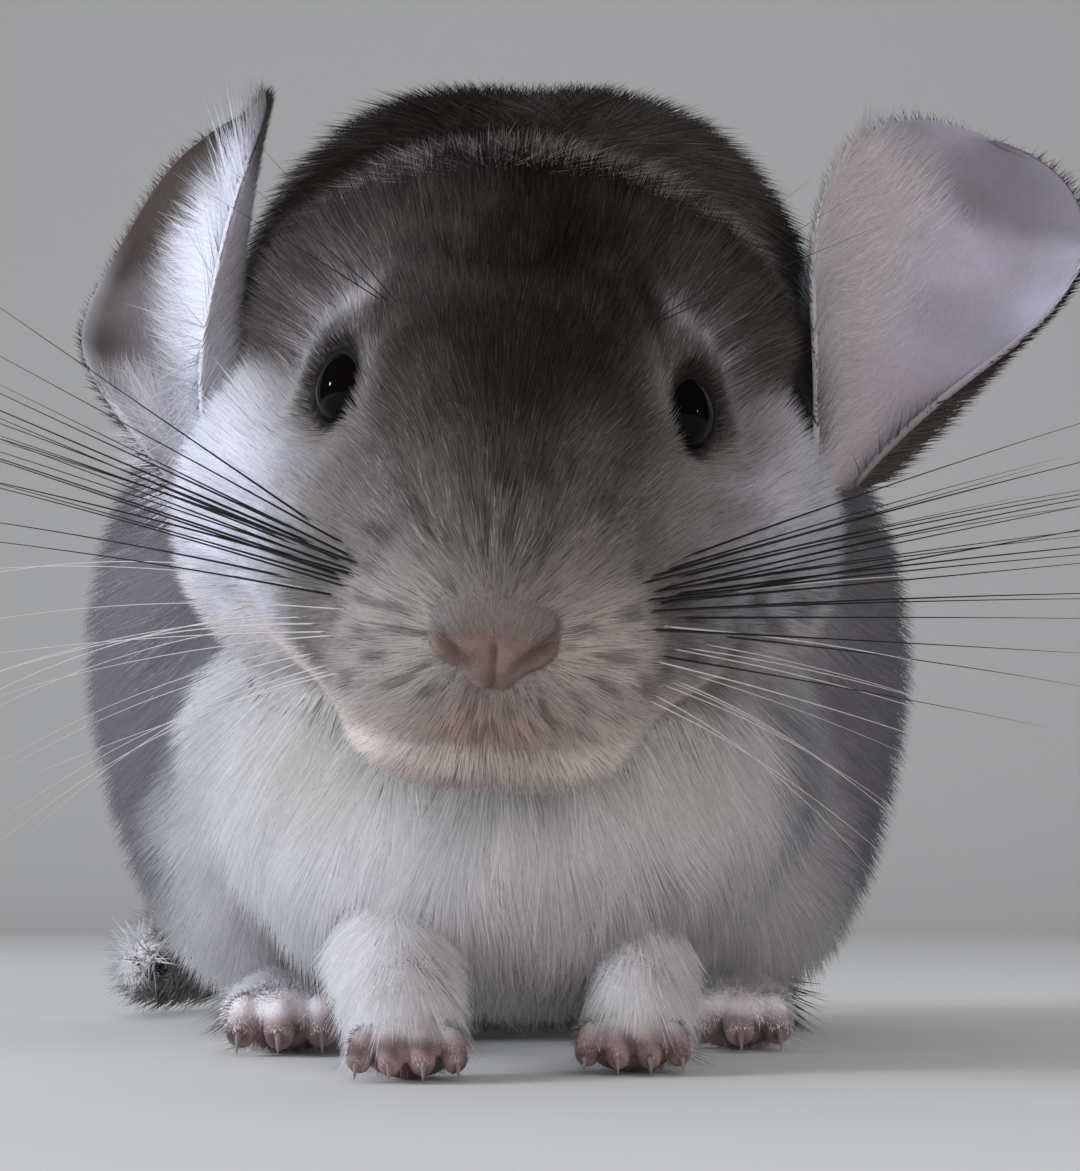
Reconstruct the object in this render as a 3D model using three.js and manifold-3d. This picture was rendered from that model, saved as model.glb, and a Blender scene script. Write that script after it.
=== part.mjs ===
// A life-size chinchilla that sits on its haunches, as a museum model.
// Millimetres, +Z up. The animal faces -Y, and +X is its own left side.
// Every piece of flesh is drawn out to the tips of its short coat.
import * as THREE from "three";
import { mergeVertices } from "three/addons/utils/BufferGeometryUtils.js";
import Module from "manifold-3d";

const wasm = await Module();
wasm.setup();

// Sizes that set the whole animal, in millimetres and degrees
const EYE_HEIGHT = 75; // midpoint of the two eyes above the floor
const HEAD_PITCH = 27; // how far the snout points below the level
const HEAD_ROLL = 4.1; // how far the head leans to its left
const BODY_WIDTH = 118;
const BACK_HEIGHT = 140;
const EYE_OUT = 17.4; // from the middle of the head to the middle of an eyeball
const EYE_RADIUS = 5.3;
const EAR_LENGTH = 54;
const EAR_THICKNESS = 1.6;
const TAIL_CORE = 5.5;
const TAIL_COAT = 14; // from the tail's centre line to the tips of its locks
const WHISKER_RADIUS = 0.36;
const GAP = 0.3; // between pieces that touch
const MOULD_GAP = 0.7; // round a curved piece, for moulds with coarser faces
const BIG = 600; // larger than the animal, for cutting blocks

const rad = THREE.MathUtils.degToRad;
const { lerp, clamp, smoothstep } = THREE.MathUtils;
const v3 = (x, y, z) => new THREE.Vector3(x, y, z);
const SIDES = [
  { name: "right", side: -1 },
  { name: "left", side: 1 },
];

// A seeded draw between 0 and 1, so that each build gives the same animal.
function seededDraw(seed) {
  let state = seed;
  return () => {
    state = (state * 1664525 + 1013904223) % 4294967296;
    return state / 4294967296;
  };
}

// Solids and booleans

function solidOf(geometry) {
  const bare = geometry.clone();
  bare.deleteAttribute("normal");
  bare.deleteAttribute("uv");
  const merged = mergeVertices(bare, 1e-4);
  return new wasm.Manifold(
    new wasm.Mesh({
      numProp: 3,
      vertProperties: new Float32Array(merged.attributes.position.array),
      triVerts: new Uint32Array(merged.index.array),
    }),
  );
}

// A solid whose faces point outwards, whichever way round its geometry was bent.
function facingOut(geometry) {
  const solid = solidOf(geometry);
  if (solid.volume() > 0) return solid;
  const order = geometry.index.array;
  for (let i = 0; i < order.length; i += 3) {
    [order[i + 1], order[i + 2]] = [order[i + 2], order[i + 1]];
  }
  return solidOf(geometry);
}

function geometryOf(solid) {
  const mesh = solid.getMesh();
  const positions = new Float32Array(mesh.numVert * 3);
  for (let i = 0; i < mesh.numVert; i++) {
    const start = i * mesh.numProp;
    positions.set(mesh.vertProperties.subarray(start, start + 3), i * 3);
  }
  const geometry = new THREE.BufferGeometry();
  geometry.setAttribute("position", new THREE.BufferAttribute(positions, 3));
  geometry.setIndex(new THREE.BufferAttribute(new Uint32Array(mesh.triVerts), 1));
  geometry.computeVertexNormals();
  return geometry;
}

// The largest closed surface of a solid, without sealed hollows and loose scraps.
const largestBody = (solid) =>
  solid.decompose().reduce((a, b) => (a.volume() > b.volume() ? a : b));
const placed = (solid, matrix) => solid.transform(matrix.elements);
const joined = (solids) => largestBody(solids.reduce((a, b) => a.add(b)));
const shared = (a, b) => largestBody(a.intersect(b));
const without = (solid, cutters) => largestBody(cutters.reduce((a, b) => a.subtract(b), solid));

// A block that fills all that lies beyond a plane, on the side that its normal points to.
function blockBeyond(point, normal) {
  const outward = normal.clone().normalize();
  const turn = new THREE.Quaternion().setFromUnitVectors(v3(0, 0, 1), outward);
  const centre = point.clone().addScaledVector(outward, BIG / 2);
  const block = new THREE.BoxGeometry(BIG, BIG, BIG).applyQuaternion(turn);
  return solidOf(block.translate(centre.x, centre.y, centre.z));
}

// Fields: signed distances to rounded masses, which melt into one another

function ellipsoid([cx, cy, cz], [rx, ry, rz]) {
  return (p) => {
    const [x, y, z] = [(p.x - cx) / rx, (p.y - cy) / ry, (p.z - cz) / rz];
    const near = Math.hypot(x, y, z);
    const slope = Math.hypot(x / rx, y / ry, z / rz);
    return slope < 1e-9 ? -Math.min(rx, ry, rz) : (near * (near - 1)) / slope;
  };
}

function melted(fields, softness) {
  return (p) => {
    const sum = fields.reduce((total, field) => total + Math.exp(-field(p) / softness), 0);
    return -softness * Math.log(sum);
  };
}

const pair = (make) => SIDES.map(({ side }) => make(side));

// How far the surface of a field lies from a point inside it.
function reachTo(field, centre, direction, offset = 0) {
  const probe = v3(0, 0, 0);
  const depthAt = (r) => field(probe.copy(centre).addScaledVector(direction, r)) - offset;
  let [inner, outer] = [0, 1];
  while (outer < BIG && depthAt(outer) < 0) {
    inner = outer;
    outer += 2;
  }
  for (let step = 0; step < 20; step++) {
    const middle = (inner + outer) / 2;
    if (depthAt(middle) < 0) inner = middle;
    else outer = middle;
  }
  return inner;
}

const surfacePoint = (field, centre, direction, offset = 0) => {
  const outward = direction.clone().normalize();
  return centre.clone().addScaledVector(outward, reachTo(field, centre, outward, offset));
};

// A closed skin where a field is zero: a ball whose points are pushed out of one centre.
function sculpted(centre, detail, field, offset = 0) {
  const ball = new THREE.IcosahedronGeometry(1, detail);
  const points = ball.attributes.position;
  for (let i = 0; i < points.count; i++) {
    const direction = v3(0, 0, 0).fromBufferAttribute(points, i);
    const place = surfacePoint(field, centre, direction, offset);
    points.setXYZ(i, place.x, place.y, place.z);
  }
  return solidOf(ball);
}

// A plain egg, for regions and moulds.
function egg([cx, cy, cz], [rx, ry, rz], grow = 0, detail = 5) {
  const ball = new THREE.IcosahedronGeometry(1, detail);
  return solidOf(ball.scale(rx + grow, ry + grow, rz + grow).translate(cx, cy, cz));
}

// A tapered rod bent along a curve. radiusAt gives its radius at 0..1 along the
// curve, and flat squeezes its section along the direction up.
function bentRod(path, radiusAt, { sides = 8, steps = 8, flat = 1, up = v3(0, 0, 1) } = {}) {
  const curve = new THREE.CatmullRomCurve3(path);
  const profile = [];
  for (let i = 0; i <= steps; i++) {
    const t = i / steps;
    const radius = i === 0 || i === steps ? 0 : radiusAt(t);
    profile.push(new THREE.Vector2(radius, 1 - t));
  }
  const lathe = new THREE.LatheGeometry(profile.reverse(), sides);
  const points = lathe.attributes.position;
  for (let i = 0; i < points.count; i++) {
    const t = clamp(1 - points.getY(i), 0, 1);
    const along = curve.getTangentAt(t);
    const side = v3(0, 0, 0).crossVectors(up, along).normalize();
    const lift = v3(0, 0, 0).crossVectors(along, side).normalize();
    const place = curve
      .getPointAt(t)
      .addScaledVector(side, points.getX(i))
      .addScaledVector(lift, points.getZ(i) * flat);
    points.setXYZ(i, place.x, place.y, place.z);
  }
  return facingOut(lathe);
}

const rounded = (radius) => (t) => radius * Math.sqrt(1 - (2 * t - 1) ** 8 * 0.7);
const tapered = (root, tip) => (t) => lerp(root, tip, t);

// Head, in its own frame: the origin is midway between the eyes and -Y runs along the snout

const headPlace = new THREE.Matrix4()
  .makeTranslation(1, 0, EYE_HEIGHT)
  .multiply(new THREE.Matrix4().makeRotationY(rad(HEAD_ROLL)))
  .multiply(new THREE.Matrix4().makeRotationX(rad(HEAD_PITCH)));

const headField = melted(
  [
    ellipsoid([0, 29, 0], [34, 27, 21.5]), // crown and its thick fur
    ellipsoid([0, 2, 1.5], [15, 24, 14]), // forehead
    ellipsoid([0, -17, -9.5], [13, 17, 11]), // bridge of the nose
    ellipsoid([0, -22, -18.5], [15.3, 13, 12]), // upper lip
    ellipsoid([0, -16, -27.5], [13.5, 12, 8.5]), // chin
    ellipsoid([0, 8, -22], [26, 26, 17]), // throat
    ...pair((side) => ellipsoid([side * 8, -18, -27.5], [7, 10, 7.4])), // corners of the jaw
    ...pair((side) => ellipsoid([side * 22, 17, -20.5], [19.5, 21, 21])), // cheeks
    ...pair((side) => ellipsoid([side * 15, -2, -17.5], [12.5, 17, 13])), // under the eyes
    ...pair((side) => ellipsoid([side * 12, 3, 0.4], [4, 7, 7])), // round the eyes
  ],
  3.4,
);

const HEAD_MIDDLE = v3(0, 14, -8);
const MUZZLE_MIDDLE = v3(0, -20, -17);
const MUZZLE_FACE = -14; // where the muzzle starts, along the snout
const MOUTH = { point: v3(0, -31, -26.6), normal: v3(0, 0.14, -1) }; // the lips meet here
const PAD = { centre: [12.8, -24, -18.3], radii: [9.9, 11.3, 10] };
const NOSE = { out: 3.1, y: -35.2, z: -14.2 };

const eyeCentre = (side) => v3(side * EYE_OUT, 0.6, 0.4);
const eyeGaze = (side) => v3(side * 0.8, -0.56, 0.2).normalize();

function eyeBall(side, grow = 0) {
  const { x, y, z } = eyeCentre(side);
  return egg([x, y, z], [EYE_RADIUS, EYE_RADIUS, EYE_RADIUS], grow, 2);
}

// The raised rim of the two lids, an almond that lies round the eye's line of sight.
function lidRim(side) {
  const gaze = eyeGaze(side);
  const turn = new THREE.Matrix4().lookAt(gaze, v3(0, 0, 0), v3(0, 0.25, 1));
  const place = eyeCentre(side).addScaledVector(gaze, 2.3);
  const rim = new THREE.TorusGeometry(4.9, 1.35, 5, 12).scale(1.06, 0.96, 1);
  return solidOf(rim.applyMatrix4(turn).translate(place.x, place.y, place.z));
}

// Nose leather with its two slanting nostrils

const noseField = melted(
  [
    ...pair((side) => ellipsoid([side * NOSE.out, NOSE.y, NOSE.z], [3.4, 3, 2.9])),
    ellipsoid([0, NOSE.y - 0.2, NOSE.z - 2.4], [2.8, 2.9, 3.1]),
    ellipsoid([0, NOSE.y + 1, NOSE.z + 0.6], [3.6, 3.4, 2.8]),
  ],
  0.7,
);
const noseMiddle = v3(0, NOSE.y + 0.6, NOSE.z - 0.6);
const nostrils = pair((side) =>
  bentRod(
    [
      v3(side * 6.6, NOSE.y - 0.6, NOSE.z + 1.1),
      v3(side * 4.6, NOSE.y - 2.6, NOSE.z - 0.2),
      v3(side * 2.7, NOSE.y - 3.2, NOSE.z - 2.4),
    ],
    rounded(0.95),
    { sides: 6, steps: 6 },
  ),
);

// Grooves that follow the surface of the muzzle: the philtrum, and the line of the mouth

function surfaceGroove(field, directions, radius) {
  const path = directions.map((direction) => surfacePoint(field, MUZZLE_MIDDLE, direction));
  return bentRod(path, rounded(radius), { sides: 6, steps: 10, up: v3(0.1, 0, 1) });
}

const philtrum = surfaceGroove(
  headField,
  [-0.35, -0.5, -0.62, -0.74].map((drop) => v3(0, -1, drop)),
  0.55,
);
const mouthLine = surfaceGroove(
  headField,
  [-80, -58, -36, -14, 14, 36, 58, 80].map((angle) => {
    const along = v3(Math.sin(rad(angle)) * 12, -Math.cos(rad(angle)) * 12, 0);
    const drop = MOUTH.point.z - MUZZLE_MIDDLE.z + (along.y + 11) * 0.14;
    return along.setZ(drop);
  }),
  0.6,
);

const nose = without(sculpted(noseMiddle, 3, noseField), [...nostrils, philtrum]);
const noseMould = sculpted(noseMiddle, 3, noseField, GAP);

const beyondFace = (p) => p.y - MUZZLE_FACE - 4;
const muzzleField = (p) => Math.max(headField(p), beyondFace(p));
const muzzleWhole = without(sculpted(MUZZLE_MIDDLE, 5, muzzleField), [
  blockBeyond(v3(0, MUZZLE_FACE, 0), v3(0, 1, 0)),
  noseMould,
  philtrum,
  mouthLine,
]);
const belowMouth = blockBeyond(MOUTH.point, MOUTH.normal);
const aboveMouth = blockBeyond(
  MOUTH.point.clone().addScaledVector(MOUTH.normal, GAP),
  MOUTH.normal.clone().negate(),
);
const lowerJaw = without(muzzleWhole, [aboveMouth]);
const upperMuzzle = without(muzzleWhole, [belowMouth]);
const padRegion = (side, grow = 0) => {
  const [x, y, z] = PAD.centre;
  return egg([side * x, y, z], PAD.radii, grow, 2);
};
const muzzle = without(upperMuzzle, pair((side) => padRegion(side, GAP)));

// Whiskers, in rows over each pad: they sweep out and back, and droop towards their tips

function whiskers(side) {
  const draw = seededDraw(41 + side);
  const rows = [
    { z: -12.6, count: 2, rise: 30, length: 74 },
    { z: -15.2, count: 3, rise: 16, length: 92 },
    { z: -17.8, count: 3, rise: 4, length: 96 },
    { z: -20.6, count: 3, rise: -13, length: 84 },
  ];
  const made = [];
  for (const { z, count, rise, length } of rows) {
    for (let i = 0; i < count; i++) {
      const back = i / count;
      const root = v3(side * (8.5 + back * 3), -28 + back * 5, z + draw() * 0.6);
      const reach = length * lerp(0.82, 1, back) * lerp(0.92, 1, draw());
      const swing = rad(lerp(11, 27, back) + draw() * 4);
      const climb = rad(rise + (draw() - 0.5) * 9);
      const heading = v3(
        side * Math.cos(swing) * Math.cos(climb),
        Math.sin(swing) * Math.cos(climb),
        Math.sin(climb),
      );
      const droop = reach * 0.09;
      const at = (t) =>
        root
          .clone()
          .addScaledVector(heading, reach * t)
          .add(v3(0, reach * 0.1 * t * t, -droop * t * t));
      const radiusAt = (t) => WHISKER_RADIUS * lerp(1, 0.62, t);
      made.push(bentRod([0, 0.33, 0.66, 1].map(at), radiusAt, { sides: 3, steps: 4 }));
    }
  }
  return made;
}

const pads = pair((side) => joined([shared(upperMuzzle, padRegion(side)), ...whiskers(side)]));

const behindFace = (p) => MUZZLE_FACE - 4 - p.y;
const skullField = (p) => Math.max(headField(p), behindFace(p));
const head = without(
  joined([sculpted(HEAD_MIDDLE, 8, skullField), ...pair(lidRim)]),
  [
    blockBeyond(v3(0, MUZZLE_FACE + GAP, 0), v3(0, -1, 0)),
    ...pair((side) => eyeBall(side, GAP)),
  ],
);
const headMould = placed(sculpted(HEAD_MIDDLE, 5, headField, MOULD_GAP), headPlace);

// Ears: a leaf whose edges curl forward, almost a tube at the root and open at the tip

const EARS = [
  { side: -1, root: v3(-36, 35, 71.5), tip: v3(-0.1, 0.19, 0.97), face: v3(-0.84, -0.54, 0.1) },
  { side: 1, root: v3(42, 36, 72), tip: v3(0.43, 0.06, 0.9), face: v3(0.04, -0.99, 0.1) },
];

const EAR_HALF_WIDTH = 18.7;
const WIDEST = 0.58; // where the leaf is widest, from root to tip

// Half the width of the flattened leaf, at 0..1 from root to tip.
function earHalfWidth(b) {
  if (b < WIDEST) return lerp(0.3, 1, Math.sin((b / WIDEST) * (Math.PI / 2))) * EAR_HALF_WIDTH;
  return EAR_HALF_WIDTH * (1 - ((b - WIDEST) / (1.004 - WIDEST)) ** 2.6) ** 0.42;
}

// The middle of the ear's wall. a runs over the leaf from its outer edge, -1, to its inner edge, 1.
function earWall(a, b) {
  const curl = lerp(1.9, 0.5, smoothstep(b, -0.15, 0.95));
  const rolled = a < 0 ? 1.25 : 0.92;
  const radius = earHalfWidth(b) / curl;
  const angle = a * curl * rolled;
  return v3(
    (radius / rolled) * Math.sin(angle),
    radius * (1 - Math.cos(angle)) - 7 * b * b,
    EAR_LENGTH * b,
  );
}

function earShell({ side, root, tip, face }) {
  const leaf = new THREE.BoxGeometry(2, 1, 1, 10, 9, 1);
  const points = leaf.attributes.position;
  const up = tip.clone().normalize();
  const across = v3(0, 0, 0).crossVectors(face, up).normalize();
  const forward = v3(0, 0, 0).crossVectors(up, across).normalize();
  const step = 1e-3;
  for (let i = 0; i < points.count; i++) {
    const a = points.getX(i);
    const b = Math.sin((points.getY(i) + 0.5) * (Math.PI / 2)) * 0.999;
    const layer = points.getZ(i);
    const here = earWall(a, b);
    const alongA = earWall(a + step, b).sub(earWall(a - step, b));
    const alongB = earWall(a, b).sub(earWall(a, b - step));
    const normal = alongB.cross(alongA).normalize();
    const thickness = lerp(3.2, EAR_THICKNESS, smoothstep(b, 0, 0.45));
    here.addScaledVector(normal, -layer * thickness);
    const place = root
      .clone()
      .addScaledVector(across, side * here.x)
      .addScaledVector(forward, here.y)
      .addScaledVector(up, here.z);
    points.setXYZ(i, place.x, place.y, place.z);
  }
  return facingOut(leaf);
}

// Torso, legs and tail, in the animal's frame, with the floor at zero

const floorBlock = blockBeyond(v3(0, 0, 0), v3(0, 0, -1));
const halfWidth = BODY_WIDTH / 2;
const torsoField = melted(
  [
    ellipsoid([0, 40, 40], [40, 35, 31]), // chest
    ellipsoid([0, 30, 27], [29, 27, 19.5]), // breast, between the forelegs
    ellipsoid([1, 50, 86], [35, 33, 35]), // nape
    ellipsoid([-1, 92, 58], [halfWidth + 1, 59, 56]), // trunk
    ...pair((side) => ellipsoid([3 + side * 10, 86, BACK_HEIGHT - 46], [34, 57, 43])), // back
    ellipsoid([0, 116, 59], [51, 54, 59]), // rump
    ...pair((side) => ellipsoid([side * 32, 92, 36], [22, 40, 31])), // haunches
  ],
  4,
);
const TORSO_MIDDLE = v3(0, 84, 62);
const torsoWhole = without(sculpted(TORSO_MIDDLE, 8, torsoField), [floorBlock]);
const torsoMould = sculpted(TORSO_MIDDLE, 8, torsoField, MOULD_GAP);
const NECK_CUT = { point: v3(0, 50, 70), normal: v3(0, -0.9, 0.43) };
const beforeNeckCut = blockBeyond(NECK_CUT.point, NECK_CUT.normal);
const behindNeckCut = blockBeyond(
  NECK_CUT.point.clone().addScaledVector(NECK_CUT.normal, GAP),
  NECK_CUT.normal.clone().negate(),
);
const thighRegion = (side, grow = 0) => egg([side * 42, 96, 32], [26, 42, 35], grow, 3);

// Forelegs: furry columns that come down from the chest to a hand with four toes

const HANDS = [
  { side: -1, toeTip: v3(-10.6, -7, 0) },
  { side: 1, toeTip: v3(14.6, 4, 0) },
];

function foreleg({ side, toeTip }, grow = 0) {
  const path = [
    v3(side * 16, 40, 28),
    v3(side * 15, 29, 20),
    v3(toeTip.x + side * 1.5, toeTip.y + 17, 13),
    v3(toeTip.x + side * 0.5, toeTip.y + 10.5, 7),
  ];
  const radiusAt = (t) => lerp(10, 7.2, t) * (t > 0.9 ? 0.86 : 1) + grow;
  return bentRod(path, radiusAt, { sides: 12, steps: 7, up: v3(0, -1, 0.2) });
}

// A toe arches forward and down from the foot, and ends in a blunt claw.
function toe(root, tip, radius, clawLength) {
  const knuckle = root.clone().lerp(tip, 0.5).add(v3(0, 0, radius * 0.75));
  const heading = tip.clone().sub(root).setZ(0).normalize();
  const flesh = bentRod([root, knuckle, tip], rounded(radius), { sides: 6, steps: 4 });
  const clawRoot = tip.clone().addScaledVector(heading, -radius * 0.6).add(v3(0, 0, radius * 0.5));
  const clawTip = tip.clone().addScaledVector(heading, clawLength);
  const clawBend = clawRoot.clone().lerp(clawTip, 0.5).add(v3(0, 0, radius * 0.35));
  const claw = bentRod([clawRoot, clawBend, clawTip.setZ(0.7)], tapered(radius * 0.42, 0.3), {
    sides: 4,
    steps: 2,
  });
  return [flesh, claw];
}

const palm = ({ toeTip }, grow = 0) =>
  egg([toeTip.x, toeTip.y + 9.4, 3.9], [6.1, 6.6, 4.2], grow, 2);

function forepaw(hand) {
  const { toeTip } = hand;
  const toes = [-1.5, -0.5, 0.5, 1.5].flatMap((place) => {
    const shorter = Math.abs(place) > 1 ? 2.2 : 0;
    const root = v3(toeTip.x + place * 2.7, toeTip.y + 7.5, 4.2);
    const tip = v3(toeTip.x + place * 3.6, toeTip.y + 1.6 + shorter, 1.5);
    return toe(root, tip, 1.75, 1.3);
  });
  return joined([palm(hand), ...toes]);
}

// Hind feet: a long sole flat on the floor, three long toes and a short inner one

const FEET = [
  { side: -1, toeTip: v3(-28.4, 38.5, 0) },
  { side: 1, toeTip: v3(30.5, 46, 0) },
];

const sole = ({ side, toeTip }, grow = 0) =>
  bentRod(
    [
      v3(toeTip.x + side * 5, toeTip.y + 58, 6.2),
      v3(toeTip.x + side * 3, toeTip.y + 34, 5.2),
      v3(toeTip.x, toeTip.y + 9, 4.6),
    ],
    (t) => lerp(6.2, 5.6, t) + grow,
    { sides: 9, steps: 5, flat: 0.85 },
  );
const ballOfFoot = ({ toeTip }, grow = 0) =>
  egg([toeTip.x, toeTip.y + 13, 4.6], [7.3, 8, 4.8], grow, 2);

function hindfoot(foot) {
  const { side, toeTip } = foot;
  const toes = [-1, 0, 1].flatMap((place) => {
    const shorter = place === 0 ? 0 : 2.4;
    const root = v3(toeTip.x + place * 4.4, toeTip.y + 12, 5);
    const tip = v3(toeTip.x + place * 5.2, toeTip.y + 3 + shorter, 2.1);
    return toe(root, tip, 2.35, 2.8);
  });
  const inner = toe(
    v3(toeTip.x - side * 6, toeTip.y + 18, 3.4),
    v3(toeTip.x - side * 8.4, toeTip.y + 13.5, 1.7),
    1.6,
    1.2,
  );
  return joined([sole(foot), ballOfFoot(foot), ...toes, ...inner]);
}

// Tail: a slim core that curls round the right haunch, under long overlapping locks

const tailCurve = new THREE.CatmullRomCurve3([
  v3(0, 158, 30),
  v3(-3, 178, 19),
  v3(-17, 192, 13),
  v3(-37, 192, 11),
  v3(-54, 178, 10),
  v3(-60, 158, 9.5),
  v3(-58, 141, 9),
]);
const TAIL_SPLIT = 0.52; // where the tail's two lengths meet

function tailLocks() {
  const draw = seededDraw(7);
  const locks = [];
  const rings = 8;
  for (let ring = 0; ring < rings; ring++) {
    const t = lerp(0.1, 0.95, ring / (rings - 1));
    const along = tailCurve.getTangentAt(t);
    const sideways = v3(0, 0, 0).crossVectors(along, v3(0, 0, 1)).normalize();
    const upward = v3(0, 0, 0).crossVectors(sideways, along).normalize();
    const start = tailCurve.getPointAt(t);
    const count = 5;
    for (let i = 0; i < count; i++) {
      const place = (i + (ring % 2) * 0.5) / (count - 0.5);
      const turn = rad(lerp(-105, 105, place) + (draw() - 0.5) * 12);
      const out = upward
        .clone()
        .multiplyScalar(Math.cos(turn))
        .addScaledVector(sideways, Math.sin(turn));
      const length = lerp(25, 31, draw());
      const coat = TAIL_COAT * lerp(0.8, 1, Math.cos(turn) * 0.5 + 0.5);
      const root = start.clone().addScaledVector(out, TAIL_CORE * 0.35);
      const bend = start
        .clone()
        .addScaledVector(out, coat * 0.72)
        .addScaledVector(along, length * 0.45);
      const tip = start
        .clone()
        .addScaledVector(out, coat * lerp(0.86, 1, draw()) * (t > 0.85 ? 0.55 : 1))
        .addScaledVector(along, length);
      const width = lerp(5, 6.2, draw());
      const radiusAt = (s) => width * Math.sin(Math.PI * clamp(s, 0.12, 1) ** 0.8) + 0.25;
      locks.push(bentRod([root, bend, tip], radiusAt, { sides: 4, steps: 4, flat: 0.36, up: out }));
    }
  }
  return locks;
}

const tailCore = bentRod(
  tailCurve.getSpacedPoints(8),
  (t) => lerp(TAIL_CORE + 2.5, TAIL_CORE, clamp(t * 3, 0, 1)) * (t > 0.9 ? 0.7 : 1),
  { sides: 10, steps: 14 },
);
const tailWhole = without(joined([tailCore, ...tailLocks()]), [floorBlock, torsoMould]);
const splitPoint = tailCurve.getPointAt(TAIL_SPLIT);
const splitAlong = tailCurve.getTangentAt(TAIL_SPLIT);
const tailRoot = without(tailWhole, [blockBeyond(splitPoint, splitAlong)]);
const tailBrush = without(tailWhole, [
  blockBeyond(splitPoint.clone().addScaledVector(splitAlong, GAP), splitAlong.clone().negate()),
]);

// The whole animal: each piece is cut clear of the pieces that it meets

const COLOURS = { coat: 0x77747a, crown: 0x57545a, white: 0xb9b6b8, skin: 0x9c8687, eye: 0x0b090a };
const chinchilla = new THREE.Group();

function addPiece(name, solid, colour, roughness = 0.9) {
  const material = new THREE.MeshStandardMaterial({ color: colour, roughness, metalness: 0 });
  const mesh = new THREE.Mesh(geometryOf(solid), material);
  mesh.name = name;
  chinchilla.add(mesh);
}

const inPlace = (solid) => placed(solid, headPlace);
addPiece("head", inPlace(head), COLOURS.crown);
addPiece("muzzle", inPlace(muzzle), COLOURS.coat);
addPiece("lower_jaw", inPlace(lowerJaw), COLOURS.white);
addPiece("nose", inPlace(nose), COLOURS.skin, 0.6);
SIDES.forEach(({ name, side }, i) => {
  addPiece("whisker_pad_" + name, inPlace(pads[i]), COLOURS.white);
  addPiece("eye_" + name, inPlace(eyeBall(side)), COLOURS.eye, 0.1);
  addPiece("ear_" + name, without(earShell(EARS[i]), [headMould, torsoMould]), COLOURS.skin, 0.7);
});

const limbMoulds = [];
SIDES.forEach(({ name }, i) => {
  const hand = HANDS[i];
  const foot = FEET[i];
  addPiece("forepaw_" + name, without(forepaw(hand), [floorBlock]), COLOURS.white);
  addPiece("foreleg_" + name, without(foreleg(hand), [palm(hand, GAP), floorBlock]), COLOURS.white);
  addPiece("hindfoot_" + name, without(hindfoot(foot), [floorBlock]), COLOURS.white);
  limbMoulds.push(foreleg(hand, GAP), palm(hand, GAP), sole(foot, GAP), ballOfFoot(foot, GAP));
});

const neck = without(torsoWhole, [behindNeckCut, headMould, ...limbMoulds]);
addPiece("neck", neck, COLOURS.coat);
SIDES.forEach(({ name, side }) => {
  const thigh = without(shared(torsoWhole, thighRegion(side)), [beforeNeckCut, ...limbMoulds]);
  addPiece("thigh_" + name, thigh, COLOURS.coat);
});
const torso = without(torsoWhole, [
  beforeNeckCut,
  headMould,
  ...pair((side) => thighRegion(side, GAP)),
  ...limbMoulds,
]);
addPiece("torso", torso, COLOURS.coat);
addPiece("tail_root", tailRoot, COLOURS.crown);
addPiece("tail_brush", tailBrush, COLOURS.crown);

// The origin goes to the middle of the animal's box, on the floor.
const box = new THREE.Box3().setFromObject(chinchilla);
const middle = box.getCenter(v3(0, 0, 0));
chinchilla.position.set(-middle.x, -middle.y, -box.min.z);

export default chinchilla;
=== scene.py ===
"""The looks of a life-size chinchilla that sits on its haunches, as a museum model.

One skin takes the place of the solids of flesh and lies inside them by the depth of the coat.
Fine tufts grow out of it along the lie of the coat, up to the solids' outline. Sizes are in
millimetres in the animal's own frame: +Z is up, it faces -Y, and +X is its own left side.
"""

import logging
import math
from dataclasses import dataclass
from enum import Enum
from typing import Callable, Iterable, Sequence

import bmesh
import bpy
import numpy as np
from mathutils import Matrix, Vector


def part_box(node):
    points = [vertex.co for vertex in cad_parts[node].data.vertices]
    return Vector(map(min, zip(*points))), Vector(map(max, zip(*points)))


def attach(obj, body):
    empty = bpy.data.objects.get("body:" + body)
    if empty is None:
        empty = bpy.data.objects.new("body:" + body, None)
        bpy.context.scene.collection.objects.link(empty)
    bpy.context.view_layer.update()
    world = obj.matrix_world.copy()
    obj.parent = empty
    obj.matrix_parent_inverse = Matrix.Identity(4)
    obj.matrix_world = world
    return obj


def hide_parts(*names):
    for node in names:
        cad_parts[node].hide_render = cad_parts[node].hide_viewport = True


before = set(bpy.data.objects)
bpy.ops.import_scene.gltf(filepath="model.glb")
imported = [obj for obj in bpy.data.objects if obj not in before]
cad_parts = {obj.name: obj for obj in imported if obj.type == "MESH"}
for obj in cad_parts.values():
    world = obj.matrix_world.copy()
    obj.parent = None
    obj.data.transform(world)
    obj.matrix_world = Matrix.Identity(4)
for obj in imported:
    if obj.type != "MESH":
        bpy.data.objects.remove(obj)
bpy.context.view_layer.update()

log = logging.getLogger("chinchilla")

MM = 0.001
EYE_HEIGHT = 75.0
HEAD_PITCH = 27.0
HEAD_ROLL = 4.1
EYE_OUT = 17.4
EYE_RADIUS = 5.3
SEED = 2207
SIDES = (("right", -1), ("left", 1))
FLESH = (
    "head muzzle lower_jaw whisker_pad_right whisker_pad_left neck torso thigh_right thigh_left "
    "foreleg_right foreleg_left tail_root tail_brush"
).split()

Points = np.ndarray


# Small maths on rows of points


def smooth(value: Points, low: float, high: float) -> Points:
    """Rises softly from 0 at low to 1 at high.

    Args:
        value: Numbers of any shape.
        low: Where the rise starts.
        high: Where it ends.

    Returns:
        Numbers from 0 to 1, in the same shape.
    """
    t = np.clip((value - low) / (high - low), 0.0, 1.0)
    return t * t * (3.0 - 2.0 * t)


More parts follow.
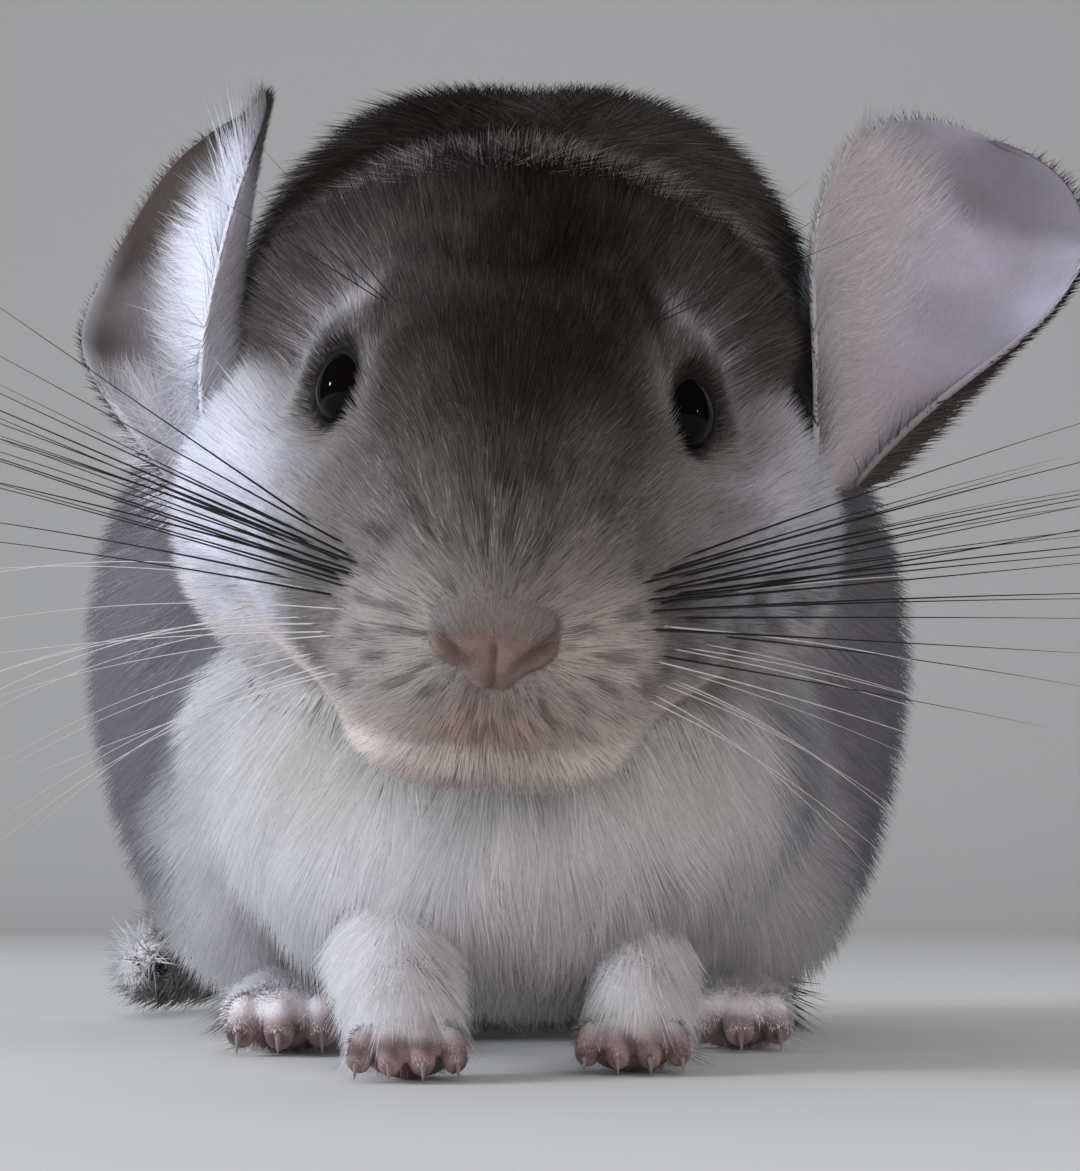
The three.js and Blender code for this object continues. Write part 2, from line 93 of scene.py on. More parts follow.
def mixed(a: Points, b: Points, share: Points) -> Points:
    """Blends rows a and b by a share for each row.

    Args:
        a: Rows, or one row, for a share of 0.
        b: Rows, or one row, for a share of 1.
        share: One number for each row.

    Returns:
        The blended rows.
    """
    weight = np.asarray(share)[:, None]
    return np.asarray(a) * (1.0 - weight) + np.asarray(b) * weight


def unit(rows: Points) -> Points:
    """Scales each row to a length of one."""
    return rows / (np.linalg.norm(rows, axis=-1, keepdims=True) + 1e-9)


def waves(points: Points, size: float, seed: int) -> Points:
    """Soft seeded noise, made of eight crossing waves.

    Args:
        points: Where the noise is wanted, in millimetres.
        size: The mean width of its patches, in millimetres.
        seed: Which noise.

    Returns:
        One number for each point, mostly between -1 and 1.
    """
    draw = np.random.default_rng(seed)
    total = np.zeros(len(points))
    for _ in range(8):
        heading = unit(draw.normal(size=3))
        pitch = math.pi / size * draw.uniform(0.6, 1.5)
        total += np.sin(points @ heading * pitch + draw.uniform(0, 2 * math.pi))
    return total / 2.83


def drift(points: Points, size: float, seed: int) -> Points:
    """A soft seeded noise of directions, as three rows of waves."""
    return np.stack([waves(points, size, seed + i) for i in range(3)], axis=1)


def shade(red: float, green: float, blue: float) -> Points:
    """A colour as a screen shows it, from 0 to 255, turned into the linear one of the shaders."""
    value = np.array([red, green, blue]) / 255.0
    return np.where(value <= 0.04045, value / 12.92, ((value + 0.055) / 1.055) ** 2.4)


# The masses that the body is melted from, as in the solids


@dataclass(frozen=True)
class Mass:
    """One rounded mass.

    Attributes:
        centre: Its middle.
        radii: Its three half widths.
    """

    centre: tuple[float, float, float]
    radii: tuple[float, float, float]

    def distance(self, points: Points) -> Points:
        """How far each point lies outside the mass, or below zero inside it.

        Args:
            points: Places in the animal's frame.

        Returns:
            The distance of each place in millimetres.
        """
        offset = (points - np.array(self.centre)) / np.array(self.radii)
        near = np.linalg.norm(offset, axis=1)
        slope = np.linalg.norm(offset / np.array(self.radii), axis=1) + 1e-9
        return near * (near - 1.0) / slope


@dataclass(frozen=True)
class Form:
    """Masses that melt into one another.

    Attributes:
        masses: The masses.
        softness: How far they melt, in millimetres.
    """

    masses: tuple[Mass, ...]
    softness: float

    def distance(self, points: Points) -> Points:
        """How far each point lies outside the form, or below zero inside it."""
        total = sum(np.exp(-mass.distance(points) / self.softness) for mass in self.masses)
        return -self.softness * np.log(total)


def both_sides(out: float, y: float, z: float, radii: tuple[float, float, float]) -> tuple[Mass, Mass]:
    """Two like masses, one on each side of the middle plane."""
    return tuple(Mass((side * out, y, z), radii) for _, side in SIDES)


HEAD = Form(
    (
        Mass((0, 29, 0), (34, 27, 21.5)),
        Mass((0, 2, 1.5), (15, 24, 14)),
        Mass((0, 13, 3.2), (22, 15, 14.5)),
        Mass((0, -17, -9.5), (13, 17, 11)),
        Mass((0, -22, -18.5), (15.3, 13, 12)),
        Mass((0, -16, -27.5), (13.5, 12, 8.5)),
        Mass((0, 8, -22), (26, 26, 17)),
        *both_sides(8, -18, -27.5, (7, 10, 7.4)),
        *both_sides(22, 17, -20.5, (19.5, 21, 21)),
        *both_sides(15, -2, -17.5, (12.5, 17, 13)),
        *both_sides(12, 3, 0.4, (4, 7, 7)),
    ),
    3.4,
)
NOSE = Form(
    (
        *both_sides(3.1, -35.2, -14.2, (3.4, 3.0, 2.9)),
        Mass((0, -35.4, -16.6), (2.8, 2.9, 3.1)),
        Mass((0, -34.2, -13.6), (3.6, 3.4, 2.8)),
    ),
    0.7,
)
TORSO = Form(
    (
        Mass((0, 40, 40), (40, 35, 31)),
        Mass((0, 30, 27), (29, 27, 19.5)),
        Mass((1, 50, 86), (35, 33, 35)),
        Mass((-1, 92, 58), (60, 59, 56)),
        Mass((-7, 86, 94), (34, 57, 43)),
        Mass((13, 86, 94), (34, 57, 43)),
        Mass((0, 116, 59), (51, 54, 59)),
        *both_sides(32, 92, 36, (22, 40, 31)),
    ),
    4.0,
)
HEAD_MIDDLE = (0.0, 14.0, -8.0)
TORSO_MIDDLE = (0.0, 84.0, 62.0)
NOSE_TIP = np.array([0.0, -36.0, -15.0])
MOUTH_HEIGHT = -26.6
MOUTH_BOW = 0.012

HEAD_PLACE = (
    Matrix.Translation((1.0, 0.0, EYE_HEIGHT))
    @ Matrix.Rotation(math.radians(HEAD_ROLL), 4, "Y")
    @ Matrix.Rotation(math.radians(HEAD_PITCH), 4, "X")
)
HEAD_TURN = np.array(HEAD_PLACE.to_3x3())
HEAD_SHIFT = np.array(HEAD_PLACE.translation)


def to_head(points: Points) -> Points:
    """Turns places of the animal's frame into the head's own frame."""
    return (points - HEAD_SHIFT) @ HEAD_TURN


def from_head(points: Points) -> Points:
    """Turns places of the head's own frame into the animal's frame."""
    return np.asarray(points) @ HEAD_TURN.T + HEAD_SHIFT


def animal_shift() -> Points:
    """Where the animal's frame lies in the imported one, read off the two eyes, in millimetres."""
    corners = [np.array(corner) for name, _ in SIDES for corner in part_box("eye_" + name)]
    return np.mean(corners, axis=0) / MM - from_head([0.0, 0.6, 0.4])


SHIFT = animal_shift()


def in_frame(points: Points) -> Points:
    """Turns places of the animal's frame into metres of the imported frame."""
    return (np.asarray(points) + SHIFT) * MM


def eye_centre(side: int) -> Points:
    """The middle of an eyeball, in the head's frame."""
    return np.array([side * EYE_OUT, 0.6, 0.4])


def eye_gaze(side: int) -> Points:
    """The line of sight of an eye, in the head's frame."""
    return unit(np.array([side * 0.8, -0.56, 0.2]))


@dataclass(frozen=True)
class Limb:
    """A leg as a bent rod of flesh.

    Attributes:
        path: The points that its middle line passes through.
        radii: Its radius at each of them, without the coat.
    """

    path: tuple[tuple[float, float, float], ...]
    radii: tuple[float, ...]

    def distance(self, points: Points) -> Points:
        """How far each point lies outside the rod, or below zero inside it.

        Args:
            points: Places in the animal's frame.

        Returns:
            The distance of each place in millimetres.
        """
        nearest = np.full(len(points), 1e9)
        for i in range(len(self.path) - 1):
            a, b = np.array(self.path[i]), np.array(self.path[i + 1])
            along = np.clip((points - a) @ (b - a) / ((b - a) @ (b - a)), 0, 1)
            radius = self.radii[i] * (1 - along) + self.radii[i + 1] * along
            gap = np.linalg.norm(points - a - along[:, None] * (b - a), axis=1) - radius
            nearest = np.minimum(nearest, gap)
        return nearest


TOES = {
    "fore": {-1: np.array([-10.6, -7.0, 0.0]), 1: np.array([14.6, 4.0, 0.0])},
    "hind": {-1: np.array([-28.4, 38.5, 0.0]), 1: np.array([30.5, 46.0, 0.0])},
}


def foreleg(side: int) -> Limb:
    """The foreleg of a side, from the chest down to the wrist.

    Args:
        side: Which side, -1 or 1.

    Returns:
        The limb.
    """
    x, y, _ = TOES["fore"][side]
    return Limb(
        (
            (side * 16.0, 40.0, 28.0),
            (side * 15.0, 29.0, 20.0),
            (x + side * 1.5, y + 17.0, 13.0),
            (x + side * 0.5, y + 10.5, 6.0),
        ),
        (7.4, 6.4, 5.3, 4.6),
    )


def shin(side: int) -> Limb:
    """The long furry heel of a hind foot, flat on the floor.

    Args:
        side: Which side, -1 or 1.

    Returns:
        The limb.
    """
    x, y, _ = TOES["hind"][side]
    return Limb(
        (
            (x + side * 5.0, y + 50.0, 6.4),
            (x + side * 3.0, y + 34.0, 5.2),
            (x, y + 14.0, 4.4),
        ),
        (5.0, 4.8, 4.4),
    )


FORELEGS = tuple(foreleg(side) for _, side in SIDES)
SHINS = tuple(shin(side) for _, side in SIDES)
LIMBS = (*FORELEGS, *SHINS)


def off_limbs(points: Points, limbs: Sequence[Limb] = LIMBS) -> Points:
    """How far each place lies outside the nearest of some limbs, or below zero inside it."""
    return np.minimum.reduce([limb.distance(points) for limb in limbs])


@dataclass(frozen=True)
class EyeRim:
    """The roll of furred skin round an eye.

    Attributes:
        radius: How far its middle line lies off the line of sight.
        ahead: How far ahead of the eye's middle it lies.
        thick: Its half thickness.
    """

    radius: float = 5.3
    ahead: float = 1.5
    thick: float = 1.3


RIM = EyeRim()


# How deep the coat lies over the skin


def head_depth(head_points: Points) -> Points:
    """The depth of the coat on the head.

    Args:
        head_points: Places in the head's frame.

    Returns:
        Millimetres from the skin to the tips, for each place.
    """
    front = 1.0 - smooth(head_points[:, 1], -12.0, 18.0)
    depth = 4.8 - 3.4 * front
    for _, side in SIDES:
        near = 1.0 - smooth(np.linalg.norm(head_points - eye_centre(side), axis=1), 6.5, 13.0)
        depth = depth * (1 - near) + 0.9 * near
    bare = 1.0 - smooth(np.linalg.norm(head_points - NOSE_TIP, axis=1), 3.0, 11.0)
    return depth * (1 - bare) + 0.5 * bare


def torso_depth(points: Points) -> Points:
    """The depth of the coat on the torso, which is shorter on the nape and low down.

    Args:
        points: Places in the animal's frame.

    Returns:
        Millimetres from the skin to the tips, for each place.
    """
    low = 1.0 - smooth(points[:, 2], 2.0, 26.0)
    nape = nape_share(points)
    return 6.6 - 2.8 * low - 1.8 * nape


def nape_share(points: Points) -> Points:
    """How far each place of the animal's frame belongs to the nape, from 0 to 1."""
    return (1.0 - smooth(points[:, 1], 58.0, 84.0)) * smooth(points[:, 2], 84.0, 100.0)


def off_mouth(x: Points, z: Points) -> Points:
    """How far places lie above the line of the mouth, which bows down at its corners."""
    return z - MOUTH_HEIGHT + MOUTH_BOW * x * x


def mouth_crease(head_points: Points) -> Points:
    """How far the skin is drawn in along the line of the mouth and the cleft above it.

    Args:
        head_points: Places in the head's frame.

    Returns:
        The depth of the crease at each place.
    """
    x, y, z = head_points.T
    ahead = 1.0 - smooth(y, -22.0, -14.0)
    line = np.exp(-((off_mouth(x, z) / 1.3) ** 2))
    cleft = np.exp(-((x / 0.8) ** 2)) * smooth(z, -27.5, -25.0) * (1.0 - smooth(z, -19.0, -17.0))
    return ahead * (1.0 * line + 0.55 * cleft)


def off_gaze(head_points: Points, side: int) -> tuple[Points, Points]:
    """How far each place of the head's frame lies off an eye's line of sight, and how far along it.

    Args:
        head_points: Places in the head's frame.
        side: Which side, -1 or 1.

    Returns:
        Both distances in millimetres.
    """
    offset = head_points - eye_centre(side)
    along = offset @ eye_gaze(side)
    return np.linalg.norm(offset - along[:, None] * eye_gaze(side), axis=1), along


def eye_rims(head_points: Points) -> Points:
    """How far each place lies outside the soft rolls of skin round the two eyes.

    Args:
        head_points: Places in the head's frame.

    Returns:
        The distance of each place in millimetres.
    """
    gaps = []
    for _, side in SIDES:
        off, along = off_gaze(head_points, side)
        gaps.append(np.hypot(off - RIM.radius, along - RIM.ahead) - RIM.thick)
    return np.minimum(*gaps)


def head_skin(points: Points) -> Points:
    """How far each place of the animal's frame lies outside the skin of the head.

    Args:
        points: Places in the animal's frame.

    Returns:
        The distance of each place in millimetres.
    """
    local = to_head(points)
    flesh = HEAD.distance(local) + head_depth(local) + mouth_crease(local)
    return -0.9 * np.log(np.exp(-flesh / 0.9) + np.exp(-eye_rims(local) / 0.9))


def torso_skin(points: Points) -> Points:
    """How far each place of the animal's frame lies outside the skin of the torso."""
    return TORSO.distance(points) + torso_depth(points)


def melted(own: Points, other: Points, points: Points) -> Points:
    """Lets one skin rise softly towards another where they meet, most of all on the nape.

    Args:
        own: How far each place lies outside the skin.
        other: How far it lies outside the other skin.
        points: The places, in the animal's frame.

    Returns:
        How far each place lies outside the skin so raised.
    """
    soft = 1.4 + 4.0 * smooth(points[:, 2], 76.0, 96.0)
    return own - soft * np.log1p(np.exp(np.minimum(own - other, 9.0) / soft))


# Blender objects


def shown(name: str, mesh: bpy.types.Mesh) -> bpy.types.Object:
    """Puts a mesh into the scene as an object at the origin.

    Args:
        name: The object's name.
        mesh: The mesh.

    Returns:
        The object.
    """
    made = bpy.data.objects.new(name, mesh)
    bpy.context.scene.collection.objects.link(made)
    return made


def settled(piece: bpy.types.Object) -> bpy.types.Object:
    """Applies all modifiers of a piece, or turns a curve into a mesh.

    Args:
        piece: The object; it is removed.

    Returns:
        A new object of the same name that holds the finished mesh.
    """
    graph = bpy.context.evaluated_depsgraph_get()
    mesh = bpy.data.meshes.new_from_object(piece.evaluated_get(graph))
    name = piece.name
    bpy.data.objects.remove(piece)
    mesh.name = name
    return shown(name, mesh)


def placed_mesh(name: str, bm: bmesh.types.BMesh, rounded: bool = True) -> bpy.types.Object:
    """Turns a bmesh in the animal's millimetres into a shown object in metres.

    Args:
        name: The name of the object.
        bm: The bmesh; it is freed.
        rounded: Whether it is shaded smooth.

    Returns:
        The object.
    """
    bmesh.ops.translate(bm, verts=bm.verts[:], vec=Vector(SHIFT))
    bmesh.ops.scale(bm, verts=bm.verts[:], vec=Vector((MM, MM, MM)))
    mesh = bpy.data.meshes.new(name)
    bm.to_mesh(mesh)
    bm.free()
    if rounded:
        mesh.shade_smooth()
    return shown(name, mesh)


def pushed_out(
    bm: bmesh.types.BMesh,
    middle: Sequence[float],
    steps: int,
    distance: Callable[[Points], Points],
) -> None:
    """Adds a ball whose points are pushed out of a middle, up to where a distance is zero.

    Args:
        bm: The bmesh that gets the ball.
        middle: The point that all others are pushed away from.
        steps: How often the ball's faces are divided.
        distance: The distance of rows of points to the surface.
    """
    farthest, stride, halvings = 110.0, 2.0, 12
    ball = bmesh.ops.create_icosphere(bm, subdivisions=steps, radius=1.0)["verts"]
    heading = unit(np.array([vert.co for vert in ball]))
    centre = np.array(middle)
    reach = np.zeros(len(heading))
    found = np.zeros(len(heading), bool)
    for radius in np.arange(0.0, farthest, stride):
        inside = distance(centre + heading * radius) < 0
        reach = np.where(inside & ~found, radius, reach)
        found |= ~inside
    low, high = reach, reach + stride
    for _ in range(halvings):
        half = (low + high) / 2
        inside = distance(centre + heading * half[:, None]) < 0
        low, high = np.where(inside, half, low), np.where(inside, high, half)
    for vert, place in zip(ball, centre + heading * low[:, None]):
        vert.co = place


def add_egg(bm: bmesh.types.BMesh, centre: Sequence[float], radii: Sequence[float], steps: int = 4) -> None:
    """Adds a ball that is stretched to three radii."""
    matrix = Matrix.Translation(Vector(centre)) @ Matrix.Diagonal((*radii, 1.0))
    bmesh.ops.create_icosphere(bm, subdivisions=steps, radius=1.0, matrix=matrix)


@dataclass(frozen=True)
class Strand:
    """One smooth rod.

    Attributes:
        path: The points that it passes through.
        radii: Its radius at each of them.
    """

    path: Points
    radii: Sequence[float]


def rods(name: str, strands: Iterable[Strand], sides: int = 2, steps: int = 6) -> bpy.types.Object:
    """Makes round rods along smooth curves, as one mesh.

    Args:
        name: The name of the object.
        strands: The rods, in the animal's millimetres.
        sides: The bevel resolution of the section.
        steps: How many lengths each rod has between two points.

    Returns:
        The object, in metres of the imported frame.
    """
    curve = bpy.data.curves.new(name, "CURVE")
    curve.dimensions = "3D"
    curve.bevel_depth = MM
    curve.bevel_resolution = sides
    curve.use_fill_caps = True
    curve.resolution_u = steps
    for strand in strands:
        spline = curve.splines.new("NURBS")
        spline.points.add(len(strand.path) - 1)
        spline.order_u = 3
        spline.use_endpoint_u = True
        for point, place, radius in zip(spline.points, in_frame(strand.path), strand.radii):
            point.co = (*place, 1.0)
            point.radius = radius
    rod = bpy.data.objects.new(name, curve)
    bpy.context.scene.collection.objects.link(rod)
    rod = settled(rod)
    rod.data.shade_smooth()
    return rod


def fused(name: str, parts: Sequence[bpy.types.Object], voxel: float, rounds: int) -> bpy.types.Object:
    """Joins overlapping closed parts into one smooth skin.

    Args:
        name: The name of the skin.
        parts: The parts; they are removed.
        voxel: The size of its faces, in millimetres.
        rounds: How many rounds of smoothing it gets.

    Returns:
        The skin.
    """
    bm = bmesh.new()
    for part in parts:
        bm.from_mesh(part.data)
        bpy.data.objects.remove(part)
    mesh = bpy.data.meshes.new(name)
    bm.to_mesh(mesh)
    bm.free()
    skin = shown(name, mesh)
    remesh = skin.modifiers.new("one skin", "REMESH")
    remesh.mode = "VOXEL"
    remesh.voxel_size = voxel * MM
    remesh.use_smooth_shade = True
    if rounds:
        relax = skin.modifiers.new("smooth", "SMOOTH")
        relax.factor = 0.5
        relax.iterations = rounds
    skin = settled(skin)
    skin.data.shade_smooth()
    return skin


# Shaders


class Signal:
    """A socket of a shader, on which Python's operators add Math nodes."""

    def __init__(self, shader: "Shader", socket: bpy.types.NodeSocket) -> None:
        """Wraps a socket of a shader."""
        self.shader = shader
        self.socket = socket

    def _math(self, operation: str, first: object, second: object) -> "Signal":
        """Adds one Math node on two values."""
        return self.shader.node("ShaderNodeMath", {"operation": operation}, {0: first, 1: second}).out(0)

    def __add__(self, other: object) -> "Signal":
        """Adds."""
        return self._math("ADD", self, other)

    __radd__ = __add__

    def __mul__(self, other: object) -> "Signal":
        """Multiplies."""
        return self._math("MULTIPLY", self, other)

    __rmul__ = __mul__

    def __sub__(self, other: object) -> "Signal":
        """Subtracts."""
        return self._math("SUBTRACT", self, other)

    def __rsub__(self, other: object) -> "Signal":
        """Subtracts from a value."""
        return self._math("SUBTRACT", other, self)

    def __pow__(self, other: object) -> "Signal":
        """Raises to a power."""
        return self._math("POWER", self, other)


class Made:
    """A node that has been added."""

    def __init__(self, shader: "Shader", node: bpy.types.Node) -> None:
        """Wraps a node of a shader."""
        self.shader = shader
        self.node = node

    def out(self, key: int | str) -> Signal:
        """One of its outputs."""
        return Signal(self.shader, self.node.outputs[key])


class Shader:
    """A material that is built node by node."""

    def __init__(self, name: str) -> None:
        """Starts an empty material of that name."""
        self.material = bpy.data.materials.new(name)
        self.material.use_nodes = True
        self.tree = self.material.node_tree
        self.tree.nodes.clear()

    def node(self, kind: str, settings: dict | None = None, values: dict | None = None) -> Made:
        """Adds a node.

        Args:
            kind: Its type.
            settings: Its own settings, which are set first. A list of stops fills a ramp.
            values: A value or a signal for each input, by name or number.

        Returns:
            The node.
        """
        node = self.tree.nodes.new(kind)
        for key, value in (settings or {}).items():
            if key == "stops":
                for i, (place, colour) in enumerate(value):
                    elements = node.color_ramp.elements
                    stop = elements[i] if i < len(elements) else elements.new(place)
                    stop.position = place
                    stop.color = colour
            else:
                setattr(node, key, value)
        for key, value in (values or {}).items():
            if isinstance(value, Signal):
                self.tree.links.new(value.socket, node.inputs[key])
            else:
                node.inputs[key].default_value = value
        return Made(self, node)

    def attribute(self, name: str) -> Signal:
        """The colour that the mesh carries under a name."""
        return self.node("ShaderNodeAttribute", {"attribute_name": name}).out("Color")

    def noise(self, size: float, detail: float = 3.0) -> Signal:
        """Noise on Object coordinates, with patches of a size in millimetres.

        Args:
            size: The mean width of a patch.
            detail: How many finer layers it has.

        Returns:
            The noise, from 0 to 1.
        """
        place = self.node("ShaderNodeTexCoord").out("Object")
        values = {"Vector": place, "Scale": 1.0 / (size * MM), "Detail": detail, "Roughness": 0.6}
        return self.node("ShaderNodeTexNoise", None, values).out("Fac")

    def times(self, colour: Signal, amount: Signal) -> Signal:
        """A colour made lighter or darker by a number.

        Args:
            colour: The colour.
            amount: The number.

        Returns:
            The new colour.
        """
        grey = self.node("ShaderNodeCombineColor", None, {0: amount, 1: amount, 2: amount}).out(0)
        settings = {"data_type": "RGBA", "blend_type": "MULTIPLY", "clamp_result": False}
        return self.node("ShaderNodeMix", settings, {0: 1.0, 6: colour, 7: grey}).out(2)

    def bump(self, height: Signal, depth: float, strength: float = 1.0) -> Signal:
        """A bump from a height, with a depth in millimetres."""
        values = {"Height": height, "Distance": depth * MM, "Strength": strength}
        return self.node("ShaderNodeBump", None, values).out("Normal")

    def finish(self, **values: object) -> bpy.types.Material:
        """Ends the material in one Principled shader.

        Args:
            values: Its inputs, with an underscore for each space in their names.

        Returns:
            The material.
        """
        inputs = {key.replace("_", " "): value for key, value in values.items()}
        surface = self.node("ShaderNodeBsdfPrincipled", None, inputs).out("BSDF")
        self.node("ShaderNodeOutputMaterial", None, {"Surface": surface})
        return self.material


@dataclass(frozen=True)
class CoatFinish:
    """Soft hair, which takes its markings and its painted light and shade from the mesh.

    Attributes:
        name: The material's name.
        roughness: How dull it is.
        grain: How strongly single hairs differ.
    """

    name: str
    roughness: float = 0.8
    grain: float = 0.26

    def material(self) -> bpy.types.Material:
        """Builds the material.

        Returns:
            The material.
        """
        shader = Shader(self.name)
        grain = shader.noise(0.9, 1.0) * self.grain + (1.0 - self.grain * 0.5)
        return shader.finish(
            Base_Color=shader.times(shader.attribute("tint"), grain),
            Roughness=self.roughness,
            Specular_IOR_Level=0.0,
        )


@dataclass(frozen=True)
class HideFinish:
    """The skin between the hairs, with the same markings and painted light and shade, and a bump of cropped
    under-fur.

    Attributes:
        name: The material's name.
        deep: How much darker it is than the tips of the coat.
    """

    name: str
    deep: float = 0.86

    def material(self) -> bpy.types.Material:
        """Builds the material.

        Returns:
            The material.
        """
        shader = Shader(self.name)
        fine = shader.noise(0.6, 1.0)
        grain = fine * 0.3 + (self.deep - 0.15)
        return shader.finish(
            Base_Color=shader.times(shader.attribute("tint"), grain),
            Roughness=0.9,
            Specular_IOR_Level=0.06,
            Normal=shader.bump(fine, 0.35),
        )


@dataclass(frozen=True)
class LeatherFinish:
    """Bare skin, as on the nose, the ears, the lips and the soles.

    Attributes:
        name: The material's name.
        roughness: How dull it is.
        pore: The size of its pores, in millimetres.
        depth: The depth of its bump, in millimetres.
        flush: How strongly light scatters in it.
    """

    name: str
    roughness: float
    pore: float
    depth: float
    flush: float = 0.15

    def material(self) -> bpy.types.Material:
        """Builds the material.

        Returns:
            The material.
        """
        shader = Shader(self.name)
        pores = shader.noise(self.pore, 2.0)
        mottle = shader.noise(self.pore * 7.0, 3.0) * 0.24 + pores * 0.16 + 0.80
        return shader.finish(
            Base_Color=shader.times(shader.attribute("tint"), mottle),
            Roughness=pores * 0.2 + (self.roughness - 0.1),
            Specular_IOR_Level=0.35,
            Subsurface_Weight=self.flush,
            Subsurface_Scale=0.002,
            Subsurface_Radius=(1.0, 0.45, 0.35),
            Normal=shader.bump(pores, self.depth),
        )


@dataclass(frozen=True)
class EyeFinish:
    """The wet, almost black eye."""

    name: str = "eye_gloss"

    def material(self) -> bpy.types.Material:
        """Builds the material.

        Returns:
            The material.
        """
        shader = Shader(self.name)
        depth = shader.noise(2.4, 2.0) * 0.5 + 0.75
        return shader.finish(
            Base_Color=shader.times(shader.attribute("tint"), depth),
            Roughness=0.03,
            Specular_IOR_Level=0.07,
        )


@dataclass(frozen=True)
class HornFinish:
    """Claws and whiskers, smooth and faintly streaked."""

    name: str
    roughness: float = 0.38

    def material(self) -> bpy.types.Material:
        """Builds the material.

        Returns:
            The material.
        """
        shader = Shader(self.name)
        streak = shader.noise(1.2, 2.0)
        return shader.finish(
            Base_Color=shader.times(shader.attribute("tint"), streak * 0.4 + 0.8),
            Roughness=streak * 0.15 + (self.roughness - 0.07),
            Specular_IOR_Level=0.5,
        )


@dataclass(frozen=True)
class FloorFinish:
    """The plain pale paper of the studio."""

    name: str = "studio_paper"

    def material(self) -> bpy.types.Material:
        """Builds the material.

        Returns:
            The material.
        """
        shader = Shader(self.name)
        fibre = shader.noise(4.0, 1.0)
        grey = fibre * 0.012 + 0.62
        colour = shader.node("ShaderNodeCombineColor", None, {0: grey, 1: grey * 0.985, 2: grey * 0.965})
        return shader.finish(Base_Color=colour.out(0), Roughness=0.9, Specular_IOR_Level=0.1)


# Markings, with painted light and shade, which the skin and the coat share


class Palette:
    """The colours of the animal, as linear ones; some of them are painted shade."""

    CROWN = shade(36, 32, 30)
    MANTLE = shade(63, 58, 56)
    BACK = shade(90, 86, 89)
    BROW = shade(78, 73, 70)
    FACE = shade(114, 108, 106)
    MUZZLE = shade(150, 142, 138)
    LIP = shade(206, 172, 164)
    CHIN = shade(208, 194, 188)
    PATCH = shade(144, 138, 141)
    CHEEK = shade(190, 188, 198)
    FLANK = shade(110, 107, 113)
    # Painted shade on the chest under the chin.
    UNDER_CHIN_SHADE = shade(176, 171, 165)
    BELLY = shade(182, 179, 182)
    # Painted shade in a parting of the chest's coat.
    PARTING_SHADE = shade(104, 102, 97)
    PAW = shade(176, 168, 168)
    LID = shade(24, 20, 19)
    # Painted shade on the low chest and between the forelegs.
    LOW_SHADE = shade(116, 111, 108)
    # Painted shade in the mouth's crease and the nose's cleft.
    GROOVE_SHADE = shade(96, 72, 68)
    LID_EDGE = shade(20, 17, 17)
    EYE = shade(9, 7, 7)
    NOSE = shade(132, 107, 100)
    NOSE_DARK = shade(116, 96, 90)
    # Painted shade in the nostrils' slits.
    NOSTRIL_SHADE = shade(52, 38, 36)
    VELVET = shade(124, 104, 98)
    VELVET_TOP = shade(112, 105, 102)
    TAIL = shade(84, 80, 80)
    TAIL_TOP = shade(98, 94, 94)
    TAIL_UNDER = shade(170, 166, 165)
    TAIL_TIP = shade(184, 180, 181)
    TOE = shade(132, 110, 108)
    TOE_DARK = shade(98, 80, 82)
    SOLE = shade(96, 66, 64)
    MAUVE = shade(112, 96, 100)
    CLAW = shade(120, 108, 104)
    WHISKER_DARK = shade(24, 22, 22)
    WHISKER_PALE = shade(192, 188, 186)


